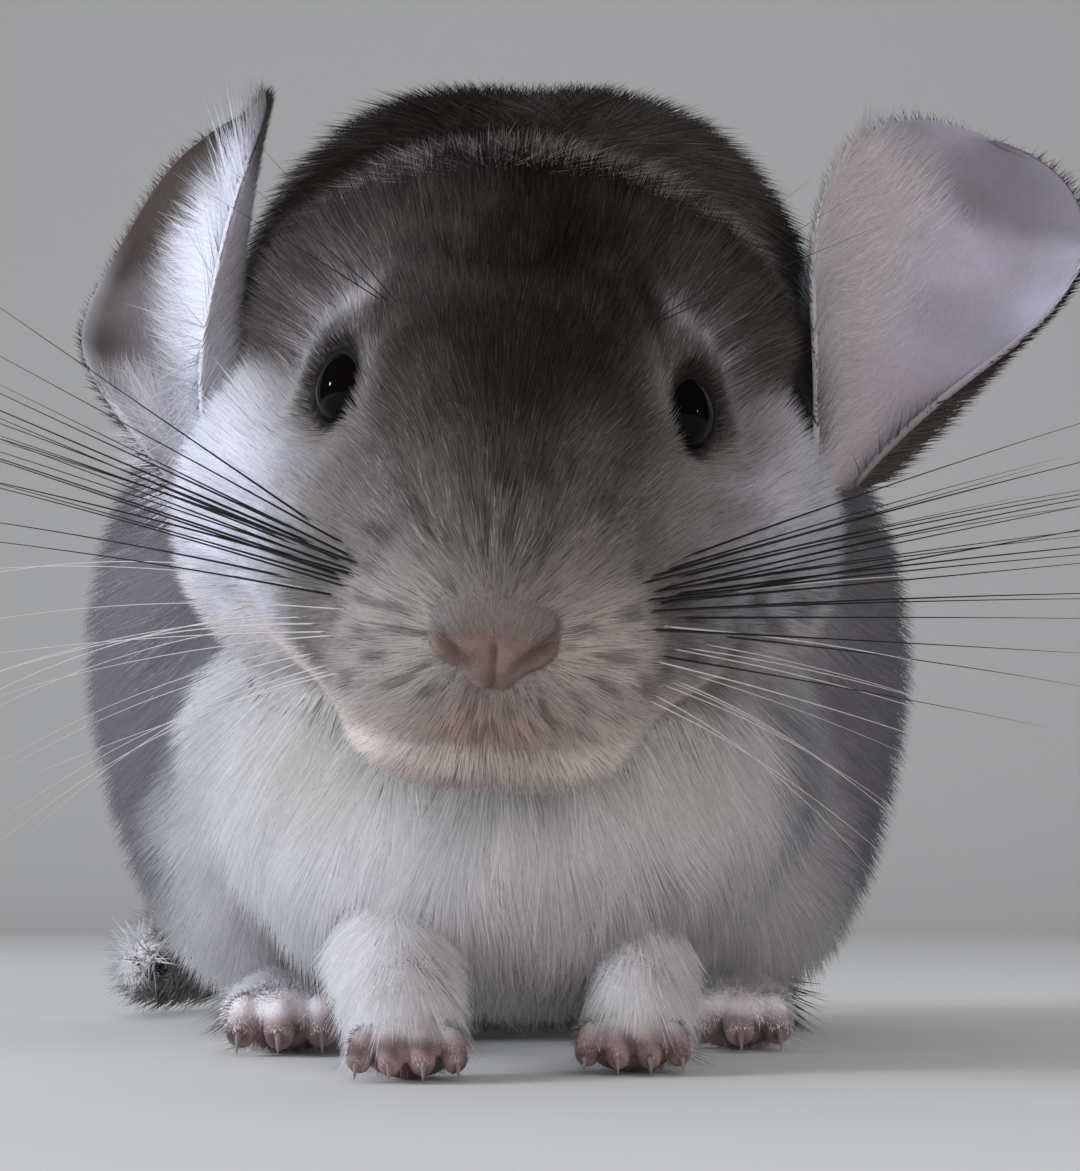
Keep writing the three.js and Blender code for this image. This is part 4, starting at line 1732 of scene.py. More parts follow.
    def build(self) -> list[bpy.types.Object]:
        """Grows the coat, in pieces of a region each.

        Returns:
            The pieces.
        """
        roots = Surface(self.skin).scatter(self.density, SEED)
        finish = CoatFinish("plush").material()
        local = to_head(roots.place)
        head = owner(roots.place) > 0.5
        x, y = roots.place.T[:2]
        regions = {
            "face": head & (local[:, 1] < -4.0),
            "brow": head & (local[:, 1] >= -4.0) & (local[:, 2] >= -5.0),
            "cheeks": head & (local[:, 1] >= -4.0) & (local[:, 2] < -5.0),
            "chest": ~head & (y < 48.0),
            "flank_right": ~head & (y >= 48.0) & (x < -20.0),
            "flank_left": ~head & (y >= 48.0) & (x >= 20.0),
            "back": ~head & (y >= 48.0) & (np.abs(x + 0.001) < 20.001),
        }
        pieces = []
        most = self.triangle_limit // len(tuft_faces(TuftShape.SPIKE))
        taken = np.zeros(len(roots), bool)
        for number, (name, mask) in enumerate(regions.items()):
            chosen = np.flatnonzero(mask & ~taken)
            taken[chosen] = True
            for part, share in enumerate(np.array_split(chosen, max(1, math.ceil(len(chosen) / most)))):
                some = roots.chosen(share)
                growth = self.growth(some, SEED + number * 7 + part)
                label = f"coat_{name}" if part == 0 else f"coat_{name}_{part + 1}"
                piece = grown(label, some, growth, TuftShape.SPIKE, SEED + part)
                pieces.append(dressed(piece, "coat_dark" if name == "brow" else "coat_grey", finish))
        return pieces


@dataclass
class TailCoat:
    """The long loose hair of the tail.

    Attributes:
        skin: The skin that it grows on.
        density: Tufts for each square millimetre.
        lift: The angle at which it leaves the skin, in degrees.
        bend: The angle by which it turns back to the skin, in degrees.
    """

    skin: bpy.types.Object
    density: float = 2.6
    lift: float = 27.0
    bend: float = 26.0

    def build(self) -> bpy.types.Object:
        """Grows it.

        Returns:
            The piece.
        """
        roots = Surface(self.skin).scatter(lambda p, n, leaf: self.density * TAIL.share(p), SEED + 90)
        draw = np.random.default_rng(SEED + 91)
        count = len(roots)
        _, along, heading = TAIL.nearest(roots.place)
        lie = heading + drift(roots.place, 6.0, 61) * 0.22 + draw.normal(0, 0.12, (count, 3))
        length = draw.uniform(10.0, 16.0, count) * (1.0 - 0.45 * smooth(along, 0.65, 1.0))
        lift = np.radians(self.lift) * draw.normal(1.0, 0.22, count)
        bend = np.radians(self.bend) * draw.normal(1.0, 0.3, count)
        under = smooth(-roots.normal[:, 2], -0.2, 0.5)[:, None]
        tint = Palette.TAIL_TOP * (1 - under) + Palette.TAIL_UNDER * under
        tint = mixed(tint, Palette.TAIL_TIP, smooth(along, 0.66, 0.9) * 0.9)
        tint = speckled(tint, draw, 0.14)
        width = draw.uniform(0.14, 0.24, count)
        growth = Growth(lie, length, width, lift, bend, (tint * 0.7, tint, tint * 1.1))
        piece = grown("coat_tail", roots, growth, TuftShape.FINE, SEED + 92)
        return dressed(piece, "coat_dark", CoatFinish("tail_hair", roughness=0.5).material())


# Eyes, nose, whiskers


@dataclass
class Eye:
    """An eyeball and its rim of lids.

    Attributes:
        name: The side's name.
        side: Its side, -1 or 1.
        rim: The radius of the lids' opening.
        thick: The radius of their roll.
        ahead: How far ahead of the eye's middle they lie.
        almond: How the opening is stretched along, across and ahead.
    """

    name: str
    side: int
    rim: float = 4.4
    thick: float = 0.5
    ahead: float = 2.75
    almond: tuple[float, float, float] = (1.05, 0.97, 0.9)

    def build(self) -> None:
        """Makes the eyeball and the lids."""
        bm = bmesh.new()
        add_egg(bm, from_head(eye_centre(self.side)), (EYE_RADIUS,) * 3, 5)
        ball = placed_mesh(f"eyeball_{self.name}", bm)
        paint(ball, Palette.EYE)
        dressed(ball, "eye", EyeFinish().material(), [f"eye_{self.name}"])
        bm = bmesh.new()
        ring = bmesh.ops.create_circle(bm, segments=12, radius=self.thick)["verts"]
        bmesh.ops.rotate(bm, verts=ring, cent=(0, 0, 0), matrix=Matrix.Rotation(math.pi / 2, 3, "X"))
        bmesh.ops.translate(bm, verts=ring, vec=(self.rim, 0, 0))
        bmesh.ops.spin(
            bm, geom=bm.verts[:] + bm.edges[:], cent=(0, 0, 0), axis=(0, 0, 1), angle=2 * math.pi, steps=40,
            use_merge=True,
        )
        gaze = Vector(HEAD_TURN @ eye_gaze(self.side))
        turn = gaze.to_track_quat("Z", "Y").to_matrix().to_4x4()
        centre = Vector(from_head(eye_centre(self.side) + eye_gaze(self.side) * self.ahead))
        almond = Matrix.Diagonal((*self.almond, 1.0))
        bmesh.ops.transform(bm, matrix=Matrix.Translation(centre) @ turn @ almond, verts=bm.verts[:])
        bmesh.ops.recalc_face_normals(bm, faces=bm.faces[:])
        lids = placed_mesh(f"lids_{self.name}", bm)
        paint(lids, Palette.LID_EDGE)
        dressed(lids, "skin", LeatherFinish(f"lid_skin_{self.name}", 0.7, 0.5, 0.08, 0.0).material())


@dataclass
class NoseLeather:
    """The bare end of the nose, with its slanting nostrils and the cleft.

    Attributes:
        nostril: The points of a nostril's slit on the left side, in the head's frame.
        slit: The half width of the slit.
    """

    nostril: tuple[tuple[float, float, float], ...] = (
        (6.4, -35.4, -13.4),
        (4.6, -37.6, -14.5),
        (2.9, -38.2, -16.4),
    )
    slit: float = 0.8

    def _from_slits(self, local: Points) -> Points:
        """How far places of the head's frame lie from the nearest nostril's line."""
        mirrored = np.stack([np.abs(local[:, 0]), local[:, 1], local[:, 2]], axis=1)
        return Limb(self.nostril, (0.0, 0.0, 0.0)).distance(mirrored)

    def _surface(self, points: Points) -> Points:
        """The distance to the leather with its grooves.

        Args:
            points: Places in the animal's frame.

        Returns:
            The distance of each place in millimetres.
        """
        local = to_head(points)
        gap = self._from_slits(local)
        cleft = np.exp(-((local[:, 0] / 0.45) ** 2)) * (1.0 - smooth(local[:, 2], -14.6, -12.8))
        return NOSE.distance(local) + 1.3 * np.exp(-((gap / self.slit) ** 2)) + 0.5 * cleft - 0.12

    def build(self) -> None:
        """Makes the leather."""
        bm = bmesh.new()
        pushed_out(bm, from_head((0.0, -34.4, -14.8)), 6, self._surface)
        nose = placed_mesh("nose_leather", bm)
        local = to_head(vertices_of(nose))
        slit = np.exp(-((self._from_slits(local) / (self.slit * 1.25)) ** 2))
        cleft = np.exp(-((local[:, 0] / 0.5) ** 2)) * (1.0 - smooth(local[:, 2], -14.4, -13.0))
        tint = mixed(Palette.NOSE, Palette.NOSE_DARK, smooth(waves(local, 2.0, 71), -0.5, 0.8))
        # Painted shade in the slits of the nostrils.
        tint = mixed(tint, Palette.NOSTRIL_SHADE, slit * 0.9)
        # Painted shade down the cleft of the nose.
        tint = mixed(tint, Palette.GROOVE_SHADE, cleft * 0.6)
        paint(nose, tint)
        unwrapped(nose)
        self.hair(nose)
        dressed(nose, "skin", LeatherFinish("nose_skin", 0.62, 0.32, 0.14, 0.1).material(), ["nose"])

    def hair(self, nose: bpy.types.Object) -> None:
        """Grows the velvet that comes down over the top of the leather.

        Args:
            nose: The leather, with its unwrap.
        """
        roots = Surface(nose).scatter(self._velvet, SEED + 71)
        draw = np.random.default_rng(SEED + 72)
        count = len(roots)
        local = to_head(roots.place)
        lie = unit(local - np.array([0.0, -40.0, -18.5])) @ HEAD_TURN.T + draw.normal(0, 0.12, (count, 3))
        top = self._top(local)
        tint = mixed(Palette.VELVET, Palette.VELVET_TOP, top)
        tint = speckled(tint, draw, 0.15)
        length = draw.uniform(0.5, 1.0, count) + draw.uniform(0.5, 1.1, count) * top
        lift = np.radians(24.0) * draw.normal(1.0, 0.15, count)
        width = 0.05 + 0.03 * top
        growth = Growth(lie, length, width, lift, np.zeros(count), (tint * 0.85, tint, tint * 1.1))
        piece = grown("nose_velvet", roots, growth, TuftShape.SPIKE, SEED + 73)
        dressed(piece, "coat_white", CoatFinish("nose_velvet").material())

    @staticmethod
    def _top(local: Points) -> Points:
        """How far places of the head's frame belong to the furred top of the nose, from 0 to 1."""
        return smooth(local[:, 2] + 0.16 * np.abs(local[:, 0]), -14.2, -12.6)

    def _velvet(self, points: Points, normals: Points, leaf: Points) -> Points:
        """Hairs for each square millimetre of the leather.

        Args:
            points: Places on the surface.
            normals: Not used.
            leaf: Not used.

        Returns:
            The density at each place.
        """
        local = to_head(points)
        side = smooth(np.abs(local[:, 0]) - 0.55 * (local[:, 2] + 18.5), 0.8, 3.0)
        open_skin = smooth(self._from_slits(local), 0.7, 1.3)
        return 24.0 * self._top(local) + (7.0 + 20.0 * side) * open_skin


class Whisker(Enum):
    """The rows of whiskers: height, count, rise in degrees, length, and share of dark ones."""

    TOP = (-12.4, 4, 17.0, 78.0, 1.0)
    UPPER = (-13.5, 6, 10.0, 94.0, 1.0)
    MIDDLE = (-14.7, 7, 6.0, 98.0, 1.0)
    LOWER = (-16.4, 5, -1.0, 92.0, 0.7)
    PALE = (-19.2, 6, -11.0, 84.0, 0.1)
    LIP = (-22.4, 6, -22.0, 62.0, 0.0)


@dataclass
class Whiskers:
    """All whiskers: rows over each lip, and a few above each eye.

    Attributes:
        dark: The radius of a dark one at its root.
        pale: The radius of a pale one at its root.
    """

    dark: float = 0.165
    pale: float = 0.095

    def _row(self, row: Whisker, side: int, draw: np.random.Generator) -> list[tuple[bool, Strand]]:
        """One row of one side, with whether each whisker is dark.

        Args:
            row: Which row.
            side: Which side, -1 or 1.
            draw: The draw of small differences.

        Returns:
            Whether each is dark, and its strand.
        """
        height, count, rise, length, share_dark = row.value
        made = []
        for i in range(count):
            back = i / count
            low = height + draw.uniform(-0.4, 0.4)
            root = np.array([side * (12.5 + back * 4.0), -24.0 + back * 9.0, low])
            reach = length * draw.uniform(0.72, 1.0) * (0.84 + 0.16 * back)
            swing = math.radians(12 + 18 * back + draw.uniform(-4, 4))
            climb = math.radians(rise + draw.uniform(-4, 4))
            level = math.cos(climb)
            heading = np.array([side * math.cos(swing) * level, math.sin(swing) * level, math.sin(climb)])
            is_dark = draw.random() < share_dark
            droop = reach * (draw.uniform(0.03, 0.10) if is_dark else draw.uniform(0.12, 0.36))
            share = np.linspace(0, 1, 7)[:, None]
            path = root + heading * reach * share + share**2 * np.array([0.0, reach * 0.1, -droop])
            taper = np.array([1.25, 1.0, 0.7, 0.5, 0.36, 0.22, 0.07]) * draw.uniform(0.75, 1.1)
            made.append((is_dark, Strand(from_head(path), taper * (self.dark if is_dark else self.pale))))
        return made

    def _brow(self, side: int, draw: np.random.Generator) -> list[tuple[bool, Strand]]:
        """The fine whiskers above one eye.

        Args:
            side: Which side, -1 or 1.
            draw: The draw of small differences.

        Returns:
            Whether each is dark, and its strand.
        """
        made = []
        for i in range(3):
            root = np.array([side * (12.5 + i * 1.3), 1.0 + i * 1.5, 9.5 + i * 0.3])
            heading = unit(np.array([side * (0.62 + 0.1 * i), -0.25, 0.78 - 0.12 * i]))
            share = np.linspace(0, 1, 5)[:, None]
            reach = draw.uniform(22, 30)
            path = root + heading * reach * share + share**2 * np.array([side * 2.0, 5.0, -1.0])
            radii = self.pale * 0.75 * np.array([1.0, 0.9, 0.7, 0.45, 0.1])
            made.append((True, Strand(from_head(path), radii)))
        return made

    def build(self) -> None:
        """Makes the dark and the pale whiskers."""
        draw = np.random.default_rng(SEED + 5)
        made = []
        for _, side in SIDES:
            for row in Whisker:
                made += self._row(row, side, draw)
            made += self._brow(side, draw)
        kinds = (("dark", True, Palette.WHISKER_DARK), ("pale", False, Palette.WHISKER_PALE))
        for name, dark, colour in kinds:
            piece = rods(f"whiskers_{name}", [strand for is_dark, strand in made if is_dark == dark], 1, 4)
            paint(piece, colour)
            dressed(piece, "horn", HornFinish(f"whisker_{name}").material())


# Ears


LEAF_END = 1.004


@dataclass(frozen=True)
class EarLook:
    """The colours of an ear.

    Attributes:
        hollow: The bare skin of the hollow.
        shadow: The darker skin that mottles it.
        top: The skin and fuzz near the tip, painted darker as shade.
        root: The skin deep down at the root.
        fleece: The hair along its inner edge.
        back: The coat of its outer side.
        edge: The coat of the outer side along the inner edge.
        combed: How strongly the fleece is combed outwards over the hollow.
        reach: Where the fleece starts, from 1 at the inner edge to -1 at the outer one.
        fade: Over how much of the hollow it grows thick.
        long: The length of the fleece.
        tip_shade_from: Where the top's colour starts, from 0 at the root to 1 at the tip.
    """

    hollow: tuple[float, float, float]
    shadow: tuple[float, float, float]
    top: tuple[float, float, float]
    root: tuple[float, float, float]
    fleece: tuple[float, float, float]
    back: tuple[float, float, float]
    edge: tuple[float, float, float]
    combed: float
    reach: float
    fade: float
    long: float
    tip_shade_from: float

    def fleece_share(self, a: Points, b: Points) -> Points:
        """How far places of the leaf belong to the fleece, from 0 to 1.

        Args:
            a: From the outer edge, -1, to the inner edge, 1.
            b: From the root, 0, to the tip, 1.

        Returns:
            The share of each place.
        """
        along = smooth(a, self.reach, self.reach + self.fade)
        along = along * (1.0 - smooth(b, self.tip_shade_from, 1.0))
        return np.maximum(along, (1.0 - smooth(b, 0.14, 0.4)) * self.combed)

    def tip_shade_share(self, a: Points, b: Points) -> Points:
        """How far places of the leaf have the top's colour, a painted shade near the tip, from 0 to 1."""
        across = 1.0 - smooth(a, 0.0, 0.6) * (1.0 - self.combed)
        return smooth(b, self.tip_shade_from, self.tip_shade_from + 0.1) * across


@dataclass
class Ear:
    """A thin leaf whose edges curl forward, with fine hair.

    Attributes:
        name: The side's name.
        side: Its side, -1 or 1.
        root: The middle of its root.
        tip: The way that it rises.
        face: The way that its hollow looks.
        look: Its colours.
        length: Its length.
        half_width: Half of its greatest width, flattened.
        widest: Where it is widest, from 0 at the root to 1 at the tip.
        thickness: The thickness of its wall.
        curl: How far each half rolls forward at the root and at the tip, in radians.
        lean: How far the tip leans back.
    """

    name: str
    side: int
    root: tuple[float, float, float]
    tip: tuple[float, float, float]
    face: tuple[float, float, float]
    look: EarLook
    length: float = 54.0
    half_width: float = 18.7
    widest: float = 0.58
    thickness: float = 0.8
    curl: tuple[float, float] = (1.9, 0.5)
    lean: float = 7.0

    def wall(self, a: Points, b: Points) -> Points:
        """The middle of the ear's wall.

        Args:
            a: From the outer edge, -1, to the inner edge, 1.
            b: From the root, 0, to the tip, 1.

        Returns:
            Places in the animal's frame.
        """
        below = 0.3 + 0.7 * np.sin(b / self.widest * math.pi / 2)
        crown = np.clip((b - self.widest) / (LEAF_END - self.widest), 0.0, 1.0)
        half = np.where(b < self.widest, below, (1.0 - crown**2.6) ** 0.42) * self.half_width
        low, high = self.curl
        curl = low + (high - low) * smooth(b, -0.15, 0.95)
        rolled = np.where(a < 0, 1.25, 0.92)
        radius = half / curl
        angle = a * curl * rolled
        x = radius / rolled * np.sin(angle)
        y = radius * (1 - np.cos(angle)) - self.lean * b * b
        fold = np.exp(-(((a - 0.32 + 0.25 * b) / 0.16) ** 2))
        fold = fold * smooth(b, 0.15, 0.4) * (1.0 - smooth(b, 0.75, 0.95))
        ripple = 0.5 * np.sin(b * 9.0 + a * 2.0) * a * a * smooth(b, 0.2, 0.5)
        forward = unit(np.cross(self._up, self._inward * self.side))
        return (
            np.array(self.root)
            + self._inward * x[:, None]
            + forward * (y + ripple + 0.8 * fold)[:, None]
            + self._up * (self.length * b)[:, None]
        )

    @property
    def _inward(self) -> Points:
        """The way across the ear, from its outer edge to its inner edge."""
        return unit(np.cross(np.array(self.face), self._up)) * self.side

    @property
    def _up(self) -> Points:
        """The way that the ear rises."""
        return unit(np.array(self.tip))

    def tint(self, leaf: Points, inside: bool) -> Points:
        """The colours of the ear's skin.

        Args:
            leaf: The two leaf numbers of each place.
            inside: Whether it is the hollow side.

        Returns:
            Linear colours.
        """
        a, b = leaf.T
        spots = np.stack([a * 20, b * 50, np.zeros(len(a))], axis=1)
        mottle = smooth(waves(spots, 9.0, 81), -0.6, 0.9)
        base = mixed(shade(*self.look.hollow), shade(*self.look.shadow), mottle)
        if inside:
            base = mixed(base, shade(*self.look.root), (1.0 - smooth(b, 0.12, 0.45)) * 0.85)
            base = mixed(base, shade(*self.look.fleece) * 0.85, self.look.fleece_share(a, b))
        else:
            base = mixed(shade(*self.look.back), shade(*self.look.edge), smooth(a, 0.0, 0.7))
        # Painted shade near the tip.
        base = mixed(base, shade(*self.look.top), self.look.tip_shade_share(a, b) * 0.85)
        edge = smooth(np.abs(a), 0.88, 1.0) * (1.0 - smooth(b, 0.6, 0.8))
        return mixed(base, shade(*self.look.fleece), edge * np.where(a > 0, 0.7, 0.3))

    def leaf(self) -> tuple[bpy.types.Object, Points]:
        """The middle sheet of the ear.

        Returns:
            The sheet, and the two leaf numbers of each of its vertices.
        """
        bm = bmesh.new()
        bmesh.ops.create_grid(bm, x_segments=64, y_segments=60, size=1.0)
        flat = np.array([vert.co for vert in bm.verts])
        a, b = flat[:, 0], np.sin((flat[:, 1] + 1) / 2 * math.pi / 2) * LEAF_END
        for vert, place in zip(bm.verts, self.wall(a, b)):
            vert.co = place
        bm.normal_update()
        facing = sum((one.normal for one in bm.faces), Vector())
        if facing.dot(Vector(self.face)) < 0:
            bmesh.ops.reverse_faces(bm, faces=bm.faces[:])
        sheet = placed_mesh(f"ear_sheet_{self.name}", bm)
        return sheet, np.stack([a, b], axis=1)

    def build(self) -> None:
        """Makes the ear's skin, and its hair inside and outside."""
        sheet, leaf = self.leaf()
        unwrapped(sheet)
        surface = Surface(sheet, leaf)
        self.inner_hair(surface)
        self.outer_hair(surface)
        solid = sheet.modifiers.new("wall", "SOLIDIFY")
        solid.thickness = self.thickness * MM
        solid.offset = 0.0
        ear = settled(sheet)
        ear.name = f"ear_skin_{self.name}"
        paint(ear, np.vstack([self.tint(leaf, True), self.tint(leaf, False)]))
        ear.data.shade_smooth()
        finish = LeatherFinish(f"ear_skin_{self.name}", 0.6, 0.7, 0.07, 0.3)
        dressed(ear, "skin", finish.material(), [f"ear_{self.name}"])

    def inner_hair(self, surface: Surface) -> None:
        """Grows the fuzz of the hollow, and the fleece along its inner edge and its root.

        Args:
            surface: The sheet of the ear, with its leaf numbers.
        """
        roots = surface.scatter(self._inner_density, SEED + 31)
        draw = np.random.default_rng(SEED + 32)
        a, b = roots.leaf.T
        count = len(roots)
        look = self.look
        fleece = look.fleece_share(a, b)
        edge = smooth(np.abs(a), 0.9, 1.0)
        fan = self._inward * -look.combed
        rise = 1.0 - look.combed * fleece * (1.25 - 1.6 * b)
        lie = self._up * rise[:, None] + fan * (fleece * (1.0 - edge))[:, None]
        lie = lie + draw.normal(0, 0.16, (count, 3))
        lie = lie + drift(roots.place, 5.0, 36) * (0.3 * fleece)[:, None]
        outwards = np.where(draw.random(count) < 0.6 * fleece, -0.8, 1.0 - 0.6 * fleece)
        lie = lie + self._inward * (np.sign(a) * edge * outwards)[:, None]
        short, long = draw.uniform(0.9, 1.7, count), draw.uniform(0.35, 1.0, count) * look.long
        inner_edge = smooth(a, 0.2, 0.8) * (1.0 - smooth(b, 0.5, 0.8))
        least = (1.0 + edge) * (1.0 + 0.14 * look.long * inner_edge)
        length = np.maximum(short * (1.0 - fleece) + long * fleece, least)
        lift = np.radians(18.0 + 10.0 * fleece) * draw.normal(1.0, 0.2, count)
        tint = mixed(shade(*look.hollow) * 1.1, shade(*look.fleece), np.maximum(fleece, 0.5 * edge))
        # Painted shade near the tip, on the fuzz too.
        tint = mixed(tint, shade(*look.top) * 1.1, look.tip_shade_share(a, b) * (1.0 - 0.5 * fleece))
        tint = speckled(tint, draw, 0.1)
        width = 0.05 + 0.05 * fleece
        roots.place = roots.place + roots.normal * (self.thickness / 2)
        growth = Growth(lie, length, width, lift, np.full(count, 0.25), (tint * 0.9, tint, tint))
        fuzz = grown(f"ear_fuzz_{self.name}", roots, growth, TuftShape.SPIKE, SEED + 33)
        dressed(fuzz, "coat_white", CoatFinish(f"ear_hair_{self.name}").material())

    def outer_hair(self, surface: Surface) -> None:
        """Grows the short coat of the ear's back.

        Args:
            surface: The sheet of the ear, with its leaf numbers.
        """
        roots = surface.scatter(self._outer_density, SEED + 34)
        draw = np.random.default_rng(SEED + 35)
        roots.normal = -roots.normal
        roots.place = roots.place + roots.normal * (self.thickness / 2)
        a, b = roots.leaf.T
        count = len(roots)
        edge = smooth(np.abs(a), 0.9, 1.0) + smooth(b, 0.97, 1.0)
        low = 1.0 - smooth(b, 0.1, 0.55)
        lie = self._up + self._inward * (0.8 * np.sign(a) * edge)[:, None]
        lie = lie + draw.normal(0, 0.14, (count, 3))
        length = draw.uniform(1.6, 2.6, count) + 3.5 * low
        tint = mixed(shade(*self.look.back), shade(*self.look.edge), smooth(a, 0.0, 0.7))
        # Painted shade near the tip, on the back's coat too.
        tint = mixed(tint, shade(*self.look.top), self.look.tip_shade_share(a, b) * 0.8)
        tint = speckled(tint, draw, 0.14)
        lift = np.radians(18.0 + 14.0 * low) * draw.normal(1.0, 0.2, count)
        growth = Growth(lie, length, 0.08 + 0.06 * low, lift, np.full(count, 0.2), (tint * 0.8, tint, tint))
        back = grown(f"ear_coat_{self.name}", roots, growth, TuftShape.SPIKE, SEED + 36)
        dressed(back, "coat_grey", CoatFinish(f"ear_back_{self.name}").material())

    def _inner_density(self, points: Points, normals: Points, leaf: Points) -> Points:
        """Hairs for each square millimetre of the hollow side.

        Args:
            points: Not used.
            normals: Not used.
            leaf: The leaf numbers there.

        Returns:
            The density at each place.
        """
        a, b = leaf.T
        rim = smooth(np.abs(a), 0.92, 1.0) + smooth(b, 0.98, 1.0)
        return 2.0 + 8.0 * self.look.fleece_share(a, b) + 9.0 * rim

    @staticmethod
    def _outer_density(points: Points, normals: Points, leaf: Points) -> Points:
        """Hairs for each square millimetre of the outer side."""
        a, b = leaf.T
        return (5.0 + 6.0 * smooth(np.abs(a), 0.92, 1.0)) * (1.0 - 0.8 * smooth(b, 0.965, 1.0))


# Paws


@dataclass
class Paw:
    """A hand or a foot with its toes and claws.

    Attributes:
        name: The node that it stands for.
        side: Its side, -1 or 1.
        hind: Whether it is a hind foot.
        voxel: The size of its faces.
    """

    name: str
    side: int
    hind: bool
    voxel: float = 0.42

    @property
    def _front(self) -> Points:
        """The place on the floor that the toes are measured from."""
        return TOES["hind" if self.hind else "fore"][self.side]

    def _toe(self, root: Points, tip: Points, radius: float) -> Strand:
        """A toe that arches forward and down.

        Args:
            root: Where it starts.
            tip: Where it ends.
            radius: Its half thickness.

        Returns:
            The toe.
        """
        knuckle = (root + tip) / 2 + np.array([0, 0, radius * 0.95])
        end = tip + (tip - root) * 0.02
        rise, fall = (root + knuckle) / 2 + (0, 0, 0.3), (knuckle + tip) / 2 + (0, 0, 0.2)
        return Strand(
            np.array([root, rise, knuckle, fall, tip, end]),
            [radius, radius * 0.98, radius, radius * 0.95, radius * 0.86, radius * 0.6],
        )

    def _claw(self, tip: Points, heading: Points, radius: float, length: float) -> Strand:
        """A short curved claw.

        Args:
            tip: The tip of its toe.
            heading: The way that it points, level.
            radius: The half thickness of the toe.
            length: Its length.

        Returns:
            The claw.
        """
        start = tip - heading * radius * 0.7 + np.array([0, 0, radius * 0.42])
        middle = tip + heading * length * 0.35 + np.array([0, 0, radius * 0.36])
        end = tip + heading * length
        end[2] = 0.45
        radii = [radius * 0.36, radius * 0.32, radius * 0.2, 0.05]
        return Strand(np.array([start, middle, (middle + end) / 2 + (0, 0, 0.15), end]), radii)

    def _toes(self) -> list[tuple[Points, Points, float, float]]:
        """Root, tip, radius and claw length of each toe.

        Returns:
            One row for each toe.
        """
        x, y, _ = self._front
        toes = []
        if self.hind:
            for place in (-1, 0, 1):
                shorter = 0.0 if place == 0 else 2.4
                root = np.array([x + place * 4.4, y + 12, 4.6])
                toes.append((root, np.array([x + place * 5.2, y + 3 + shorter, 2.15]), 2.25, 2.8))
            root = np.array([x - self.side * 6, y + 18, 3.4])
            toes.append((root, np.array([x - self.side * 8.4, y + 13.5, 1.7]), 1.6, 1.2))
        else:
            for place in (-1.5, -0.5, 0.5, 1.5):
                shorter = 2.2 if abs(place) > 1 else 0.0
                root = np.array([x + place * 2.7, y + 7.5, 4.0])
                toes.append((root, np.array([x + place * 3.6, y + 1.6 + shorter, 1.65]), 1.62, 1.3))
        return toes

    def build(self) -> None:
        """Makes the skin, the claws and the short hair of the paw."""
        x, y, _ = self._front
        bm = bmesh.new()
        if self.hind:
            add_egg(bm, (x, y + 13, 4.4), (6.8, 8, 4.2))
            add_egg(bm, (x + self.side * 1.5, y + 24, 4.4), (5.4, 12, 4.2))
        else:
            add_egg(bm, (x, y + 9.4, 3.9), (5.7, 6.4, 3.8))
            add_egg(bm, (x + self.side * 0.5, y + 11.5, 8.0), (4.6, 4.4, 5.0))
        palm = placed_mesh(self.name + "_palm", bm)
        toes = self._toes()
        digits = rods(self.name + "_toes", [self._toe(*toe[:3]) for toe in toes], 5, 6)
        skin = fused(f"{self.name}_skin", [palm, digits], self.voxel, 3)
        unwrapped(skin)
        paint(skin, self.tint(vertices_of(skin)))
        leather = LeatherFinish(f"{self.name}_leather", 0.6, 0.5, 0.12, 0.2)
        dressed(skin, "skin", leather.material(), [self.name])
        claws = []
        for root, tip, radius, length in toes:
            heading = unit((tip - root) * np.array([1, 1, 0]))
            claws.append(self._claw(tip, heading, radius * 0.8, length * 0.62))
        nails = rods(f"{self.name}_claws", claws, 4, 5)
        paint(nails, Palette.CLAW)
        dressed(nails, "horn", HornFinish(f"{self.name}_horn", 0.35).material())
        self.hair(skin)

    def tint(self, points: Points) -> Points:
        """The colours of the paw: pinkish, with mauve grey between and on the toes.

        Args:
            points: Places in the animal's frame.

        Returns:
            A linear colour for each place.
        """
        tint = mixed(Palette.TOE, Palette.TOE_DARK, smooth(waves(points, 2.0, 91), -0.3, 0.7))
        upper = shade(216, 208, 211) if self.hind else shade(176, 168, 168)
        tint = mixed(tint, upper, smooth(points[:, 2], 3.6, 6.5))
        return mixed(tint, Palette.SOLE, 1.0 - smooth(points[:, 2], 0.4, 1.6))

    def _density(self, points: Points, normals: Points, leaf: Points) -> Points:
        """Hairs for each square millimetre of the paw.

        Args:
            points: Places on the surface.
            normals: The normals there.
            leaf: Not used.

        Returns:
            The density at each place.
        """
        top = self._front[1]
        upper = smooth(normals[:, 2], -0.25, 0.25) * smooth(points[:, 2], 1.2, 2.6)
        return upper * (9.0 + 3.0 * smooth(points[:, 1], top + 5, top + 9))

